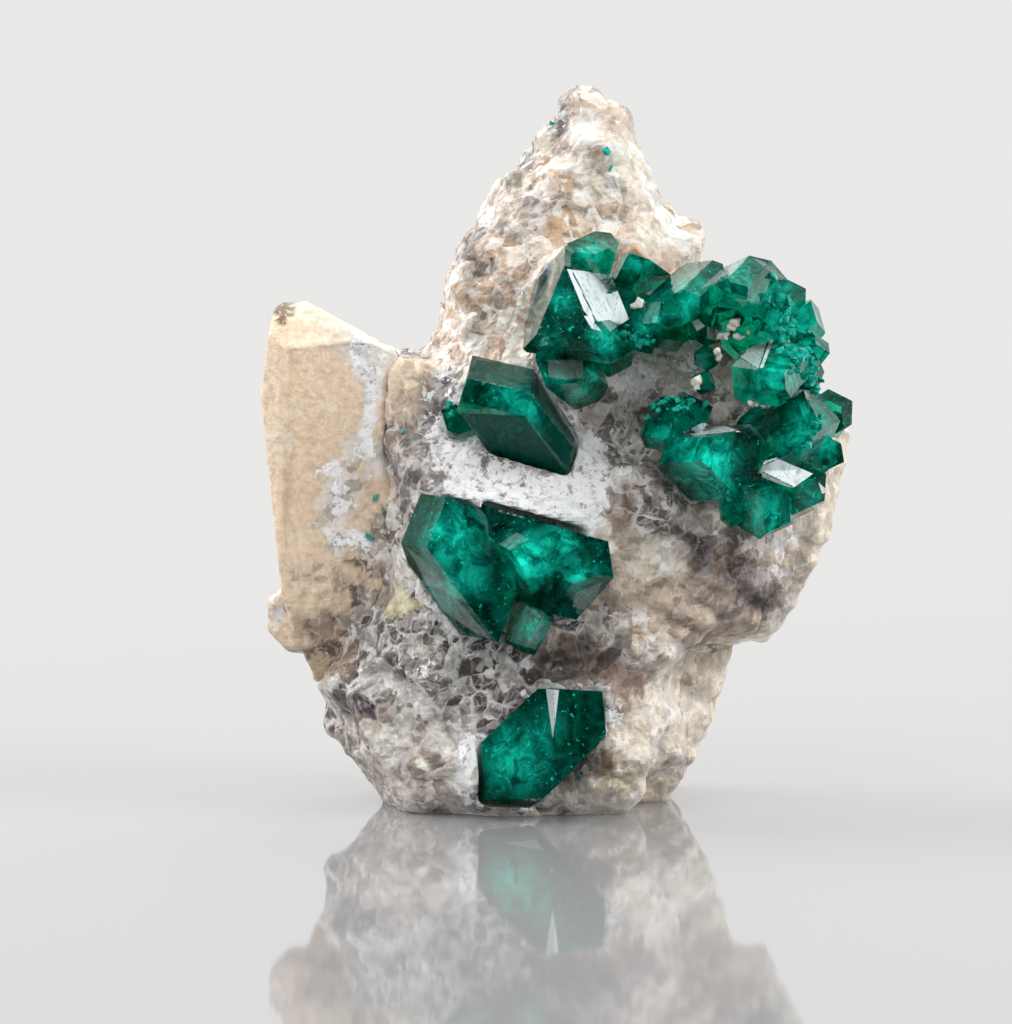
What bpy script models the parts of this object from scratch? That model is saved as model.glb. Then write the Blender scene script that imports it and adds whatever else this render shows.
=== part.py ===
"""Green crystals on a lumpy stone matrix, resting on its flat cut base.

The crystals are short hexagonal prisms with three sloping faces at each end. The
stone is grey-brown granular quartz that rises to a pale peak, with a smooth tan
calcite blade on the left and a pale calcite slab behind the right ledge.
Sizes are millimetres and angles degrees; the object is 70 mm tall. +X is to the
right as seen from the front, -Y is the front, +Z is up.
"""

import math
import random

import bmesh
import bpy
from mathutils import Matrix, Vector
from mathutils.geometry import delaunay_2d_cdt

MM = 0.001
GAP = 0.3                  # clearance between a crystal and its socket
CAP_SLOPE = 50.95          # angle between an end face's normal and the long axis
BLOCK = 80.0               # edge of the block that a faceted solid is cut from

# The matrix seen from the front: x and z, clockwise from the peak.
MATRIX_OUTLINE = (
    (3.4, 69.4), (6.6, 66.6), (8.9, 62.6), (11.3, 56.6), (13.9, 54.4), (14.6, 51.8),
    (18.5, 48.0), (22.5, 42.5), (25.2, 37.5), (25.0, 32.0), (23.6, 26.0), (21.8, 20.0),
    (18.5, 16.4), (13.6, 15.4), (11.6, 12.0), (12.0, 9.0), (10.4, 4.6), (8.0, 1.0),
    (6.2, -2.5), (-15.8, -2.5), (-17.8, 1.5), (-20.2, 4.6), (-21.0, 8.0), (-23.2, 10.6),
    (-21.6, 15.0), (-18.0, 20.5), (-17.0, 27.0), (-17.6, 34.0), (-18.0, 42.0),
    (-15.2, 44.0), (-12.2, 43.6), (-11.3, 47.6), (-10.2, 52.0), (-7.8, 56.2),
    (-4.8, 60.8), (-1.3, 64.2), (1.2, 68.4),
)
# How far the matrix reaches forward and back: x, z, front y, back y.
MATRIX_RELIEF = (
    (3.4, 68.0, 6.0, 12.0), (4.0, 60.0, 2.5, 17.0), (-4.0, 55.0, 1.0, 17.0),
    (10.0, 54.0, 1.0, 16.0), (-8.0, 48.0, -1.5, 18.0), (0.0, 48.0, -3.0, 20.0),
    (12.0, 44.0, -3.5, 18.0), (19.0, 43.0, -5.0, 14.0), (-12.0, 40.0, -5.0, 17.0),
    (-4.0, 37.5, -8.5, 20.0), (4.0, 40.0, -6.5, 20.0), (8.5, 37.5, -2.5, 20.0),
    (11.0, 33.0, -7.0, 19.0), (22.0, 34.0, -5.5, 8.0), (-14.0, 31.0, -8.5, 17.0),
    (-8.0, 27.0, -11.0, 20.0), (0.0, 27.0, -10.0, 20.0), (7.0, 29.0, -10.0, 19.0),
    (14.0, 24.0, -10.0, 14.0), (20.0, 23.0, -7.5, 6.0), (6.0, 19.0, -12.0, 17.0),
    (-1.0, 15.5, -11.0, 19.0), (-10.0, 16.0, -11.0, 18.0), (-17.0, 13.0, -7.5, 14.0),
    (-8.0, 8.0, -10.0, 17.0), (-2.0, 7.0, -9.5, 18.0), (6.0, 8.0, -10.0, 13.0),
    (-14.0, 3.0, -9.0, 14.0), (-2.0, 0.0, -10.5, 16.0), (5.0, 1.0, -9.5, 10.0),
)
EDGE_ROUND = 5.5           # distance over which the outline's edge is rounded
RELIEF_BLUR = 2.0          # distance over which one place of the relief list reigns
CORE_STEP = 2.0            # spacing of the core's points before lumps are added
CORE_MARGIN = 1.2          # the core's inner points keep this far from its outline
ON_OUTLINE = 0.001
MATRIX_VOXEL = 0.7
MATRIX_KEEP = 0.15         # share of the remeshed triangles that is kept
MATRIX_SEED = 11

# Lumps on the matrix: lowest and highest z, smallest and largest radius, how many.
LUMP_BANDS = (
    (58.0, 72.0, 2.2, 3.6, 26),
    (44.0, 58.0, 2.0, 4.2, 56),
    (26.0, 44.0, 1.8, 4.0, 90),
    (0.0, 26.0, 2.0, 4.4, 130),
)
LUMP_SUNK = 0.5            # how deep a lump's centre sits, as a share of its radius
LUMP_CHIPS = 7             # flat chips struck off each lump
CHIP_DEPTH = (0.55, 0.85)  # distance of a chip from the lump's centre, in radii
LUMP_STRETCH = ((0.8, 1.35), (0.75, 1.1), (0.7, 1.2))
SMALL_LUMP_BIAS = 1.6      # above 1, small lumps are more common than large ones

# Faces of the calcite solids: bearing and rise of the normal, distance from the
# centre. Bearing 0 looks to the front, 90 to the right; a rise of 90 looks up.
BLADE_AT = (-22.0, 0.5, 32.0)
BLADE_FACES = (
    (8, -3, 5.0), (180, 3, 6.0), (-90, 8, 7.4), (-90, -6, 5.5), (-90, -19, 7.8),
    (-45, 0, 7.0), (-135, 4, 8.0), (0, 90, 16.6), (90, 60, 13.4), (-90, 51, 15.7),
    (0, 50, 13.5), (170, 55, 14.5), (92, -2, 6.0), (50, 0, 6.6), (90, -25, 9.2),
    (10, -35, 11.0), (170, -40, 13.5), (0, -80, 19.5),
)
KNOB_AT = (-25.4, 0.5, 18.2)
KNOB_FACES = (
    (0, 10, 2.8), (180, 0, 3.0), (90, 0, 3.0), (-90, 5, 2.4), (-80, -45, 2.7),
    (-85, 50, 2.8), (-40, -10, 2.7), (-135, 10, 2.8), (0, -80, 3.2), (0, 80, 3.4),
)
SLAB_AT = (21.0, 3.0, 27.0)
SLAB_FACES = (
    (0, 5, 6.6), (180, 0, 6.5), (90, -13, 5.3), (90, -27, 5.0), (70, -55, 9.0),
    (0, -85, 11.3), (90, 53, 11.7), (0, 80, 11.4), (45, 0, 7.4), (135, -4, 8.2),
    (-90, 0, 8.5), (-90, -45, 12.4), (20, -50, 10.6), (0, 45, 11.5),
)
FOOT_AT = (9.0, 7.5, 8.0)
FOOT_FACES = (
    (0, 0, 6.4), (180, 5, 7.0), (90, -17, 6.1), (90, -32, 5.8), (0, -90, 8.0),
    (-90, 0, 8.0), (45, 0, 7.4), (135, -6, 7.6), (180, -45, 9.6), (90, 52, 12.4),
    (0, 85, 13.0), (180, 50, 11.4),
)

# Every crystal: its centre; how its long axis swings to the side, leans and rolls;
# the distance from the centre to its side faces, repeated around when fewer than
# six; and the reach of its upper and of its lower end faces along the axis.
CRYSTALS = {
    "upper": ((-4.5, -7.5, 39), (-38, 40, -12), (6, 3.5, 4), (10.5, 5.5, 7.5), (11, 3, 10.5)),
    "upper_side": ((-9.4, -7, 37.5), (-60, 30, 10), (1.6, 1.3, 1.8), (2, 2.5, 2), (2, 2, 2)),
    "base": ((-1.5, -11, 5.8), (45, 15, -120), (5.5, 2.5), (10, 6.5, 9), (8.5, 6.5, 10)),
    "centre_left": ((-8.5, -11.5, 24), (-37, -12, -30), (4, 4, 3.5), (8.5, 9, 7), (11, 3, 10)),
    "centre_right": ((-1, -11, 24), (105, 23, 58), (4, 4, 4.5), (8.5, 4.5, 10.5), (3, 11, 9.5)),
    "centre_small": ((-3, -15, 24.5), (-70, -5, -60), (2.5, 2.5, 2.5), (2, 4, 3), (3.5, 2.5, 3)),
    "centre_lower": ((-2.5, -13.5, 19), (-165, 45, 45), (1.5, 2.5, 2.5), (3.5, 4, 3.5), (5, 3.5, 2.5)),
    "crown_left": ((1.5, -9, 48), (5, -72, 20), (3, 5.5), (9, 8.5, 10.5), (11, 8, 8.5)),
    "crown_tip": ((3.7, -6, 54), (-30, 60, 5), (1.5, 3, 2.5), (5.5, 1, 5.5), (3.5, 4.5, 4.5)),
    "crown_behind": ((7.5, -3.5, 51), (-55, 60, -40), (1.5, 3, 1.5), (3.5, 7, 3.5), (5.5, 4, 4.5)),
    "pendant": ((1, -9.5, 42), (45, -35, 25), (2.5, 4, 3), (4, 6, 3), (3.5, 2, 7.5)),
    "crown_long": ((12, -8, 49.5), (50, -55, -45), (3, 3, 1.5), (6.5, 5, 8.5), (7, 6.5, 6.5)),
    "crown_right": ((18.5, -8.5, 49.5), (60, 70, 130), (4.5, 2.5, 3.5), (4, 8, 11), (5, 7.5, 10)),
    "crown_side": ((20, -11.5, 42.5), (40, 60, -5), (3.5, 3, 3), (8, 5, 3), (4, 6, 5.5)),
    "lower": ((14.4, -11, 34.8), (60, 101, 38), (4.5, 4.5, 4.5, 2, 4, 4.5), (5.5, 5.5, 5.5), (6, 6, 6)),
    "margin": ((22, -6.5, 36), (45, -25, -25), (6, 3.5, 4, 4, 5.5, 2), (6, 6, 6), (8.5, 3.5, 6)),
    "corner": ((22.3, -9.5, 30.7), (0, 78, 58), (3, 3, 3, 3, 2, 2), (4.5, 4.5, 4.5), (4, 4, 4)),
    "hanging": ((19, -13, 29.5), (-55, 75, -115), (2.5, 2.5, 3), (2, 4, 5), (3, 4.5, 3.5)),
    "rim_upper": ((25.5, -5, 37.5), (-35, 70, 155), (2, 2, 1), (2, 4.5, 3), (4, 4, 1)),
    "rim_lower": ((24.5, -6.5, 33.5), (105, 140, 55), (2, 2.5, 1.5), (0.5, 4, 2), (1.5, 3, 2)),
}
# Each green node and the crystals that are grown together in it.
GREEN_NODES = {
    "crystal_upper": ("upper", "upper_side"),
    "crystal_base": ("base",),
    "cluster_centre": ("centre_left", "centre_right", "centre_small", "centre_lower"),
    "cluster_crown": ("crown_left", "crown_tip", "crown_behind", "pendant", "crown_long",
                      "crown_right", "crown_side"),
    "cluster_lower_right": ("lower", "margin", "corner", "hanging", "rim_upper", "rim_lower"),
}
# Small rough crystals grown onto a node: x, y, z and half width.
SMALL_CRYSTALS = {
    "cluster_crown": (
        (21.5, -8.0, 49.0, 1.9), (23.4, -7.0, 46.8, 2.0), (23.9, -7.5, 44.2, 1.8),
        (23.3, -8.0, 42.2, 1.7), (20.4, -10.5, 46.6, 1.9), (18.0, -8.0, 46.2, 3.0),
        (13.4, -8.4, 46.4, 1.8), (10.4, -8.5, 46.4, 2.2), (8.0, -9.8, 45.6, 1.6),
        (6.9, -7.5, 47.6, 2.4), (5.2, -8.0, 44.8, 2.6), (16.2, -10.0, 47.6, 1.7),
    ),
    "cluster_lower_right": (
        (26.2, -4.5, 38.2, 1.9), (22.8, -7.0, 38.4, 1.9), (10.8, -11.0, 38.0, 2.0),
        (9.6, -11.5, 36.6, 1.6), (12.6, -10.0, 38.4, 1.9), (16.4, -12.0, 29.2, 1.3),
        (25.4, -6.5, 34.6, 1.6),
    ),
}
BEADS = ((14.0, -11.3, 43.7, 1.05), (13.8, -11.3, 41.4, 1.05))
SMALL_SEED = 5
SMALL_SIDES = (0.8, 1.1)   # distance of a small crystal's sides, in half widths
SMALL_REACH = (1.15, 1.55) # reach of a small crystal's ends, in half widths

COLOURS = {
    "green": ((0.004, 0.19, 0.13, 1.0), 0.08),
    "matrix": ((0.43, 0.36, 0.31, 1.0), 0.55),
    "blade": ((0.60, 0.42, 0.27, 1.0), 0.5),
    "slab": ((0.63, 0.53, 0.44, 1.0), 0.4),
}


def material(name):
    """Make one plain surface with the colour and roughness listed for it."""
    colour, roughness = COLOURS[name]
    made = bpy.data.materials.new(name)
    made.use_nodes = True
    shader = made.node_tree.nodes["Principled BSDF"]
    shader.inputs["Base Color"].default_value = colour
    shader.inputs["Roughness"].default_value = roughness
    shader.inputs["Metallic"].default_value = 0.0
    return made


def add_object(name, bm, surface):
    """Turn a bmesh in millimetres into a named object in metres."""
    bmesh.ops.scale(bm, vec=(MM, MM, MM), verts=bm.verts)
    bmesh.ops.recalc_face_normals(bm, faces=bm.faces)
    mesh = bpy.data.meshes.new(name)
    bm.to_mesh(mesh)
    bm.free()
    mesh.materials.append(surface)
    made = bpy.data.objects.new(name, mesh)
    bpy.context.scene.collection.objects.link(made)
    return made


def hide_as_tool(made, tools):
    """Keep a cutter or a part of a union out of the finished model."""
    made.hide_render = True
    made.display_type = "WIRE"
    tools.objects.link(made)


def cut_solid(centre, faces):
    """Cut a block down to the faces given as (outward normal, distance) pairs."""
    bm = bmesh.new()
    bmesh.ops.create_cube(bm, size=BLOCK)
    for normal, distance in faces:
        geometry = bm.verts[:] + bm.edges[:] + bm.faces[:]
        cut = bmesh.ops.bisect_plane(bm, geom=geometry, plane_co=normal * distance,
                                     plane_no=normal, clear_outer=True)
        rim = [item for item in cut["geom_cut"] if isinstance(item, bmesh.types.BMEdge)]
        if rim:
            bmesh.ops.contextual_create(bm, geom=rim)
    bmesh.ops.translate(bm, vec=Vector(centre), verts=bm.verts)
    return bm


def crystal_faces(turn, sides, upper, lower, grow):
    """The six side faces and six end faces of one crystal, all moved out by grow."""
    swing, lean, roll = (math.radians(angle) for angle in turn)
    turned = (Matrix.Rotation(swing, 3, "Y") @ Matrix.Rotation(lean, 3, "X")
              @ Matrix.Rotation(roll, 3, "Z"))
    slope = math.radians(CAP_SLOPE)
    faces = []
    for k in range(6):
        around = math.radians(60 * k - 60)
        normal = Vector((math.cos(around), math.sin(around), 0.0))
        faces.append((turned @ normal, sides[k % len(sides)] + grow))
    for k in range(3):
        for up, first, reach in ((1.0, -90, upper), (-1.0, -30, lower)):
            around = math.radians(first + 120 * k)
            flat = math.sin(slope)
            normal = Vector((flat * math.cos(around), flat * math.sin(around),
                             up * math.cos(slope)))
            faces.append((turned @ normal, reach[k] * math.cos(slope) + grow))
    return faces


def crystal(name, grow=0.0):
    """One crystal as a solid, or as its larger socket when grow is the clearance."""
    centre, turn, sides, upper, lower = CRYSTALS[name]
    return cut_solid(centre, crystal_faces(turn, sides, upper, lower, grow))


def small_crystal(place, rng, grow=0.0):
    """One of the small rough crystals, turned at random."""
    turn = tuple(rng.uniform(-180, 180) for _ in range(3))
    width = place[3]
    sides = tuple(width * rng.uniform(*SMALL_SIDES) for _ in range(3))
    reach = tuple(width * rng.uniform(*SMALL_REACH) for _ in range(3))
    return cut_solid(place[:3], crystal_faces(turn, sides, reach, reach, grow))


def stone(centre, faces, grow=0.0):
    """A calcite solid from the bearing, rise and distance of its faces."""
    cuts = []
    for bearing, rise, distance in faces:
        turn = math.radians(bearing)
        lift = math.radians(rise)
        normal = Vector((math.sin(turn) * math.cos(lift), -math.cos(turn) * math.cos(lift),
                         math.sin(lift)))
        cuts.append((normal, distance + grow))
    return cut_solid(centre, cuts)


def edge_distance(x, z, outline):
    """Distance from a point to the nearest side of an outline."""
    point = Vector((x, z))
    best = BLOCK
    for k, start in enumerate(outline):
        a = Vector(start)
        b = Vector(outline[(k + 1) % len(outline)])
        along = b - a
        share = max(0.0, min(1.0, (point - a).dot(along) / along.length_squared))
        best = min(best, (point - a - along * share).length)
    return best


def inside(x, z, outline):
    """True where a point lies inside an outline."""
    hit = False
    for k, (x0, z0) in enumerate(outline):
        x1, z1 = outline[(k + 1) % len(outline)]
        if (z0 > z) != (z1 > z) and x < x0 + (z - z0) * (x1 - x0) / (z1 - z0):
            hit = not hit
    return hit


def relief(x, z):
    """Front and back depth of the matrix at a place, blended from the relief list."""
    total = front = back = 0.0
    for px, pz, py_front, py_back in MATRIX_RELIEF:
        weight = 1.0 / ((x - px) ** 2 + (z - pz) ** 2 + RELIEF_BLUR ** 2) ** 2
        total += weight
        front += weight * py_front
        back += weight * py_back
    return front / total, back / total


def matrix_core():
    """The matrix without its lumps: a rounded solid with the outline seen in front."""
    points = []
    for k, (x, z) in enumerate(MATRIX_OUTLINE):
        x1, z1 = MATRIX_OUTLINE[(k + 1) % len(MATRIX_OUTLINE)]
        steps = max(1, round(math.hypot(x1 - x, z1 - z) / CORE_STEP))
        for step in range(steps):
            points.append((x + (x1 - x) * step / steps, z + (z1 - z) * step / steps))
    rim = len(points)
    low_x = min(x for x, _ in MATRIX_OUTLINE)
    high_x = max(x for x, _ in MATRIX_OUTLINE)
    low_z = min(z for _, z in MATRIX_OUTLINE)
    high_z = max(z for _, z in MATRIX_OUTLINE)
    for row in range(int((high_z - low_z) / CORE_STEP) + 1):
        for column in range(int((high_x - low_x) / CORE_STEP) + 1):
            x = low_x + CORE_STEP * (column + 0.5 * (row % 2))
            z = low_z + CORE_STEP * row
            clear = edge_distance(x, z, MATRIX_OUTLINE) > CORE_MARGIN
            if clear and inside(x, z, MATRIX_OUTLINE):
                points.append((x, z))
    edges = [(k, (k + 1) % rim) for k in range(rim)]
    places = [Vector(point) for point in points]
    flat, _, triangles, _, _, _ = delaunay_2d_cdt(places, edges, [], 1, ON_OUTLINE)
    bm = bmesh.new()
    fronts = []
    backs = []
    for point in flat:
        front, back = relief(point.x, point.y)
        near = min(1.0, edge_distance(point.x, point.y, MATRIX_OUTLINE) / EDGE_ROUND)
        full = math.sqrt(max(0.0, 1.0 - (1.0 - near) ** 2))
        middle = 0.5 * (front + back)
        if near < ON_OUTLINE:
            fronts.append(bm.verts.new((point.x, middle, point.y)))
            backs.append(fronts[-1])
        else:
            fronts.append(bm.verts.new((point.x, middle + (front - middle) * full, point.y)))
            backs.append(bm.verts.new((point.x, middle + (back - middle) * full, point.y)))
    for a, b, c in triangles:
        bm.faces.new((fronts[a], fronts[b], fronts[c]))
        if len({backs[a], backs[b], backs[c]} - {fronts[a], fronts[b], fronts[c]}) > 0:
            bm.faces.new((backs[c], backs[b], backs[a]))
    bmesh.ops.recalc_face_normals(bm, faces=bm.faces)
    return bm


def add_lump(bm, rng, centre, radius):
    """Add one chipped lump of stone to a bmesh."""
    grown = bmesh.ops.create_icosphere(bm, subdivisions=2, radius=1.0)["verts"]
    stretch = Matrix.Diagonal([rng.uniform(*span) for span in LUMP_STRETCH])
    chips = []
    for _ in range(LUMP_CHIPS):
        normal = Vector((rng.gauss(0, 1), rng.gauss(0, 1), rng.gauss(0, 1))).normalized()
        chips.append((normal, rng.uniform(*CHIP_DEPTH)))
    for vertex in grown:
        place = vertex.co.copy()
        for normal, depth in chips:
            over = place.dot(normal) - depth
            if over > 0.0:
                place -= normal * over
        vertex.co = centre + stretch @ place * radius


def matrix_body():
    """The core with lumps all over it."""
    rng = random.Random(MATRIX_SEED)
    bm = matrix_core()
    spots = []
    for face in bm.faces:
        spots.append((face.calc_center_median(), face.normal.copy(), face.calc_area()))
    for low, high, small, large, count in LUMP_BANDS:
        band = [spot for spot in spots if low <= spot[0].z < high]
        for spot in rng.choices(band, [area for _, _, area in band], k=count):
            radius = small + (large - small) * rng.random() ** SMALL_LUMP_BIAS
            add_lump(bm, rng, spot[0] - spot[1] * (radius * LUMP_SUNK), radius)
    return bm


def join_by_boolean(base, operation, tools, solver="EXACT"):
    """Join or cut with a whole collection of closed solids."""
    modifier = base.modifiers.new(operation.lower(), "BOOLEAN")
    modifier.operation = operation
    modifier.operand_type = "COLLECTION"
    modifier.collection = tools
    modifier.solver = solver


def new_tools(name):
    """A collection for hidden cutters or for the parts of a union."""
    made = bpy.data.collections.new(name)
    bpy.context.scene.collection.children.link(made)
    return made


def largest_body(made):
    """Replace an object's modifiers by their result, without loose crumbs."""
    graph = bpy.context.evaluated_depsgraph_get()
    bm = bmesh.new()
    bm.from_mesh(made.evaluated_get(graph).to_mesh())
    left = set(bm.verts)
    bodies = []
    while left:
        queue = [left.pop()]
        body = set(queue)
        while queue:
            for edge in queue.pop().link_edges:
                for vertex in edge.verts:
                    if vertex in left:
                        left.discard(vertex)
                        body.add(vertex)
                        queue.append(vertex)
        bodies.append(body)
    keep = max(bodies, key=len)
    bmesh.ops.delete(bm, geom=[v for v in bm.verts if v not in keep], context="VERTS")
    bm.to_mesh(made.data)
    bm.free()
    made.modifiers.clear()


def green_node(node, surface, sockets):
    """A crystal or a cluster, with the sockets that it needs in the stone."""
    rng = random.Random(SMALL_SEED)
    members = GREEN_NODES[node]
    body = add_object(node, crystal(members[0]), surface)
    parts = [(member, crystal(member)) for member in members[1:]]
    hide_as_tool(add_object(node + "_socket", crystal(members[0], GAP), surface), sockets)
    for member in members[1:]:
        hide_as_tool(add_object(member + "_socket", crystal(member, GAP), surface), sockets)
    for k, place in enumerate(SMALL_CRYSTALS.get(node, ())):
        state = rng.getstate()
        parts.append(("small_%d" % k, small_crystal(place, rng)))
        rng.setstate(state)
        socket = small_crystal(place, rng, GAP)
        hide_as_tool(add_object("%s_small_socket_%d" % (node, k), socket, surface), sockets)
    if parts:
        others = new_tools(node + "_parts")
        for label, part in parts:
            hide_as_tool(add_object(node + "_" + label, part, surface), others)
        join_by_boolean(body, "UNION", others)


def two_part_stone(node, parts, surface, crystal_sockets, stone_sockets):
    """Two stone solids joined in one node, cut by the crystals that grow on them."""
    others = new_tools(node + "_parts")
    body = add_object(node, stone(*parts[0]), surface)
    hide_as_tool(add_object(node + "_second", stone(*parts[1]), surface), others)
    join_by_boolean(body, "UNION", others)
    join_by_boolean(body, "DIFFERENCE", crystal_sockets)
    for k, part in enumerate(parts):
        socket = stone(*part, grow=GAP)
        hide_as_tool(add_object("%s_socket_%d" % (node, k), socket, surface), stone_sockets)


def stand_on_origin():
    """Move everything so that the base's middle is at the origin."""
    graph = bpy.context.evaluated_depsgraph_get()
    low = Vector((1.0, 1.0, 1.0))
    high = -low
    for made in bpy.data.objects:
        if made.hide_render:
            continue
        mesh = made.evaluated_get(graph).to_mesh()
        for vertex in mesh.vertices:
            for axis in range(3):
                low[axis] = min(low[axis], vertex.co[axis])
                high[axis] = max(high[axis], vertex.co[axis])
    shift = Vector(((low.x + high.x) / 2, (low.y + high.y) / 2, low.z))
    for made in bpy.data.objects:
        made.location = -shift


def build():
    """Build every named piece."""
    for old in list(bpy.data.objects):
        bpy.data.objects.remove(old)
    surfaces = {name: material(name) for name in COLOURS}
    crystal_sockets = new_tools("crystal_sockets")
    stone_sockets = new_tools("stone_sockets")

    for node in GREEN_NODES:
        green_node(node, surfaces["green"], crystal_sockets)
    rng = random.Random(SMALL_SEED)
    for k, place in enumerate(BEADS):
        state = rng.getstate()
        add_object("crystal_bead_%d" % (k + 1), small_crystal(place, rng), surfaces["green"])
        rng.setstate(state)
        socket = small_crystal(place, rng, GAP)
        hide_as_tool(add_object("bead_socket_%d" % k, socket, surfaces["green"]), crystal_sockets)

    two_part_stone("calcite_blade", ((BLADE_AT, BLADE_FACES), (KNOB_AT, KNOB_FACES)),
                   surfaces["blade"], crystal_sockets, stone_sockets)
    two_part_stone("calcite_slab", ((SLAB_AT, SLAB_FACES), (FOOT_AT, FOOT_FACES)),
                   surfaces["slab"], crystal_sockets, stone_sockets)

    below = bmesh.new()
    bmesh.ops.create_cube(below, size=BLOCK)
    bmesh.ops.translate(below, vec=(0.0, 0.0, -BLOCK / 2), verts=below.verts)
    hide_as_tool(add_object("base_cut", below, surfaces["matrix"]), stone_sockets)

    matrix = add_object("matrix", matrix_body(), surfaces["matrix"])
    remesh = matrix.modifiers.new("one_body", "REMESH")
    remesh.mode = "VOXEL"
    remesh.voxel_size = MATRIX_VOXEL * MM
    thin = matrix.modifiers.new("facets", "DECIMATE")
    thin.ratio = MATRIX_KEEP
    join_by_boolean(matrix, "DIFFERENCE", crystal_sockets, solver="MANIFOLD")
    join_by_boolean(matrix, "DIFFERENCE", stone_sockets, solver="MANIFOLD")
    largest_body(matrix)
    stand_on_origin()


build()
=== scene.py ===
import math
from collections import namedtuple

import bmesh
import bpy
import numpy as np
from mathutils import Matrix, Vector, kdtree, noise
from mathutils.bvhtree import BVHTree
from mathutils.geometry import delaunay_2d_cdt


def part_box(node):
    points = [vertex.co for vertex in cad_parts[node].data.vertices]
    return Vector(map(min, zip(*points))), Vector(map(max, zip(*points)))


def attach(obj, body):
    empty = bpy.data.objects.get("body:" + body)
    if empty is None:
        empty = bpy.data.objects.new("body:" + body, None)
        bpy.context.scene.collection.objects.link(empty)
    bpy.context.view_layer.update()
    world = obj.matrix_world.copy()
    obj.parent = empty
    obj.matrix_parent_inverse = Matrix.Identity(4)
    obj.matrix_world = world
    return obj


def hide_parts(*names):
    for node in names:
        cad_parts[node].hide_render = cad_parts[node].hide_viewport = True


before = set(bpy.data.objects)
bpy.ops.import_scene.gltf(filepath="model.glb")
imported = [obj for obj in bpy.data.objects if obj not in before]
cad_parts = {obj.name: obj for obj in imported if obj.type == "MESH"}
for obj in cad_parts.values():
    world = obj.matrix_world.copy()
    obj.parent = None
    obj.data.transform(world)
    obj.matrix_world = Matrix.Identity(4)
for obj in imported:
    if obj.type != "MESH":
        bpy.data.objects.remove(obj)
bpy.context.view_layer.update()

# Looks of a green crystal specimen on its stone. Lengths in the tables are millimetres.
MM = 0.001
SEED = 20

# Voxel of the remeshed stone, and side of the crystals' small triangles.
STONE_VOXEL = 0.36
CRYSTAL_STEP = 0.5

# The photograph's view of the specimen.
CAMERA_AIM = (-4.9, -1.7, 28.4)
CAMERA_DISTANCE = 480.0
CAMERA_RISE = 4.0
CAMERA_LENS = 174.7
CAMERA_SENSOR = 36.0
FRAME_WIDTH = 1012
FRAME_HEIGHT = 1024
# Size of a pixel at the specimen.
PIXEL = 0.0966

# Colours, linear.
WHITE = (0.84, 0.83, 0.83)
MILKY = (0.74, 0.73, 0.68)
CREAM = (0.73, 0.63, 0.50)
IVORY = (0.80, 0.72, 0.61)
BEIGE = (0.54, 0.42, 0.325)
PINK = (0.60, 0.42, 0.33)
PEACH = (0.78, 0.50, 0.31)
YELLOW = (0.62, 0.56, 0.32)
OLIVE_GREY = (0.36, 0.32, 0.25)
TAUPE = (0.33, 0.25, 0.195)
GREY = (0.27, 0.235, 0.22)
PURPLE = (0.150, 0.118, 0.122)
SMOKE = (0.080, 0.062, 0.058)
BROWN = (0.20, 0.125, 0.08)
PIT = (0.05, 0.035, 0.03)
TAN = (0.84, 0.65, 0.47)
GREENISH = (0.40, 0.42, 0.30)

# Kinds of stone: the grains' colours with their shares, white powder, pale veins, how far
# lumps and fine grains rise, roughness, and how far ridges rise.
Kind = namedtuple("Kind", "colours powder veins lump fine rough ridge", defaults=(0,))
BODY = Kind((SMOKE, 3, GREY, 4, TAUPE, 4, BEIGE, 3, MILKY, 3), 0.15, 0.7, 0.6, 0.2, 0.4)
CREAM_TIP = Kind((CREAM, 4, BEIGE, 4, MILKY, 2), 0, 0.4, 0.4, 0.05, 0.4)
WHITE_STONE = Kind((MILKY, 5, CREAM, 3, WHITE, 2), 0.1, 0.2, 0.4, 0.1, 0.5)
TAUPE_STONE = Kind((TAUPE, 6, BEIGE, 1), 0, 0.2, 0.25, 0.05, 0.4)
GREEN_PITS = Kind((GREENISH, 3, BROWN, 1, MILKY, 3), 0.1, 0.1, 0.5, 0.3, 0.6)
PEACH_LUMPS = Kind((PEACH, 4, CREAM, 3, TAUPE, 2, MILKY, 2), 0.05, 0.8, 0.65, 0.12, 0.45)
BEIGE_LUMPS = Kind((BEIGE, 4, TAUPE, 3, CREAM, 4), 0.05, 0.8, 0.65, 0.08, 0.4)
PALE_LUMPS = Kind((BEIGE, 3, MILKY, 5, WHITE, 2), 0.1, 0.6, 0.65, 0.1, 0.45)
CREAM_LUMPS = Kind((BEIGE, 4, CREAM, 4, PEACH, 2, MILKY, 3), 0.05, 0.8, 0.65, 0.12, 0.45)
OLIVE = Kind((OLIVE_GREY, 3, CREAM, 1), 0, 0.4, 0.8, 0.1, 0.45)
SHADED = Kind((SMOKE, 2, TAUPE, 3, GREY, 3), 0, 0.5, 0.5, 0.12, 0.45)
PINK_STONE = Kind((PINK, 5, BEIGE, 2), 0.05, 0.3, 0.4, 0.06, 0.42)
TAN_SMOOTH = Kind((BEIGE, 3, TAN, 2, CREAM, 1), 0.1, 0.2, 0.25, 0.08, 0.5)
BLADE = Kind((TAN, 1), 0, 0, 0, 0, 0.5)
BLADE_CAP = Kind((CREAM, 4, MILKY, 1), 0.1, 0, 0.15, 0.05, 0.5)
BLADE_RIM = Kind((CREAM, 2, TAN, 2), 0, 0, 0.1, 0.03, 0.45)
BLADE_FOOT = Kind((TAUPE, 3, BEIGE, 2, BROWN, 1), 0.1, 0.2, 0.45, 0.15, 0.4)
BLADE_CRUMBS = Kind((TAN, 3, CREAM, 2, BROWN, 1), 0.15, 0, 0.3, 0.45, 0.6)
PALE_BAND = Kind((MILKY, 2, WHITE, 3), 0.75, 0.2, 0.25, 0.08, 0.6)
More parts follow.
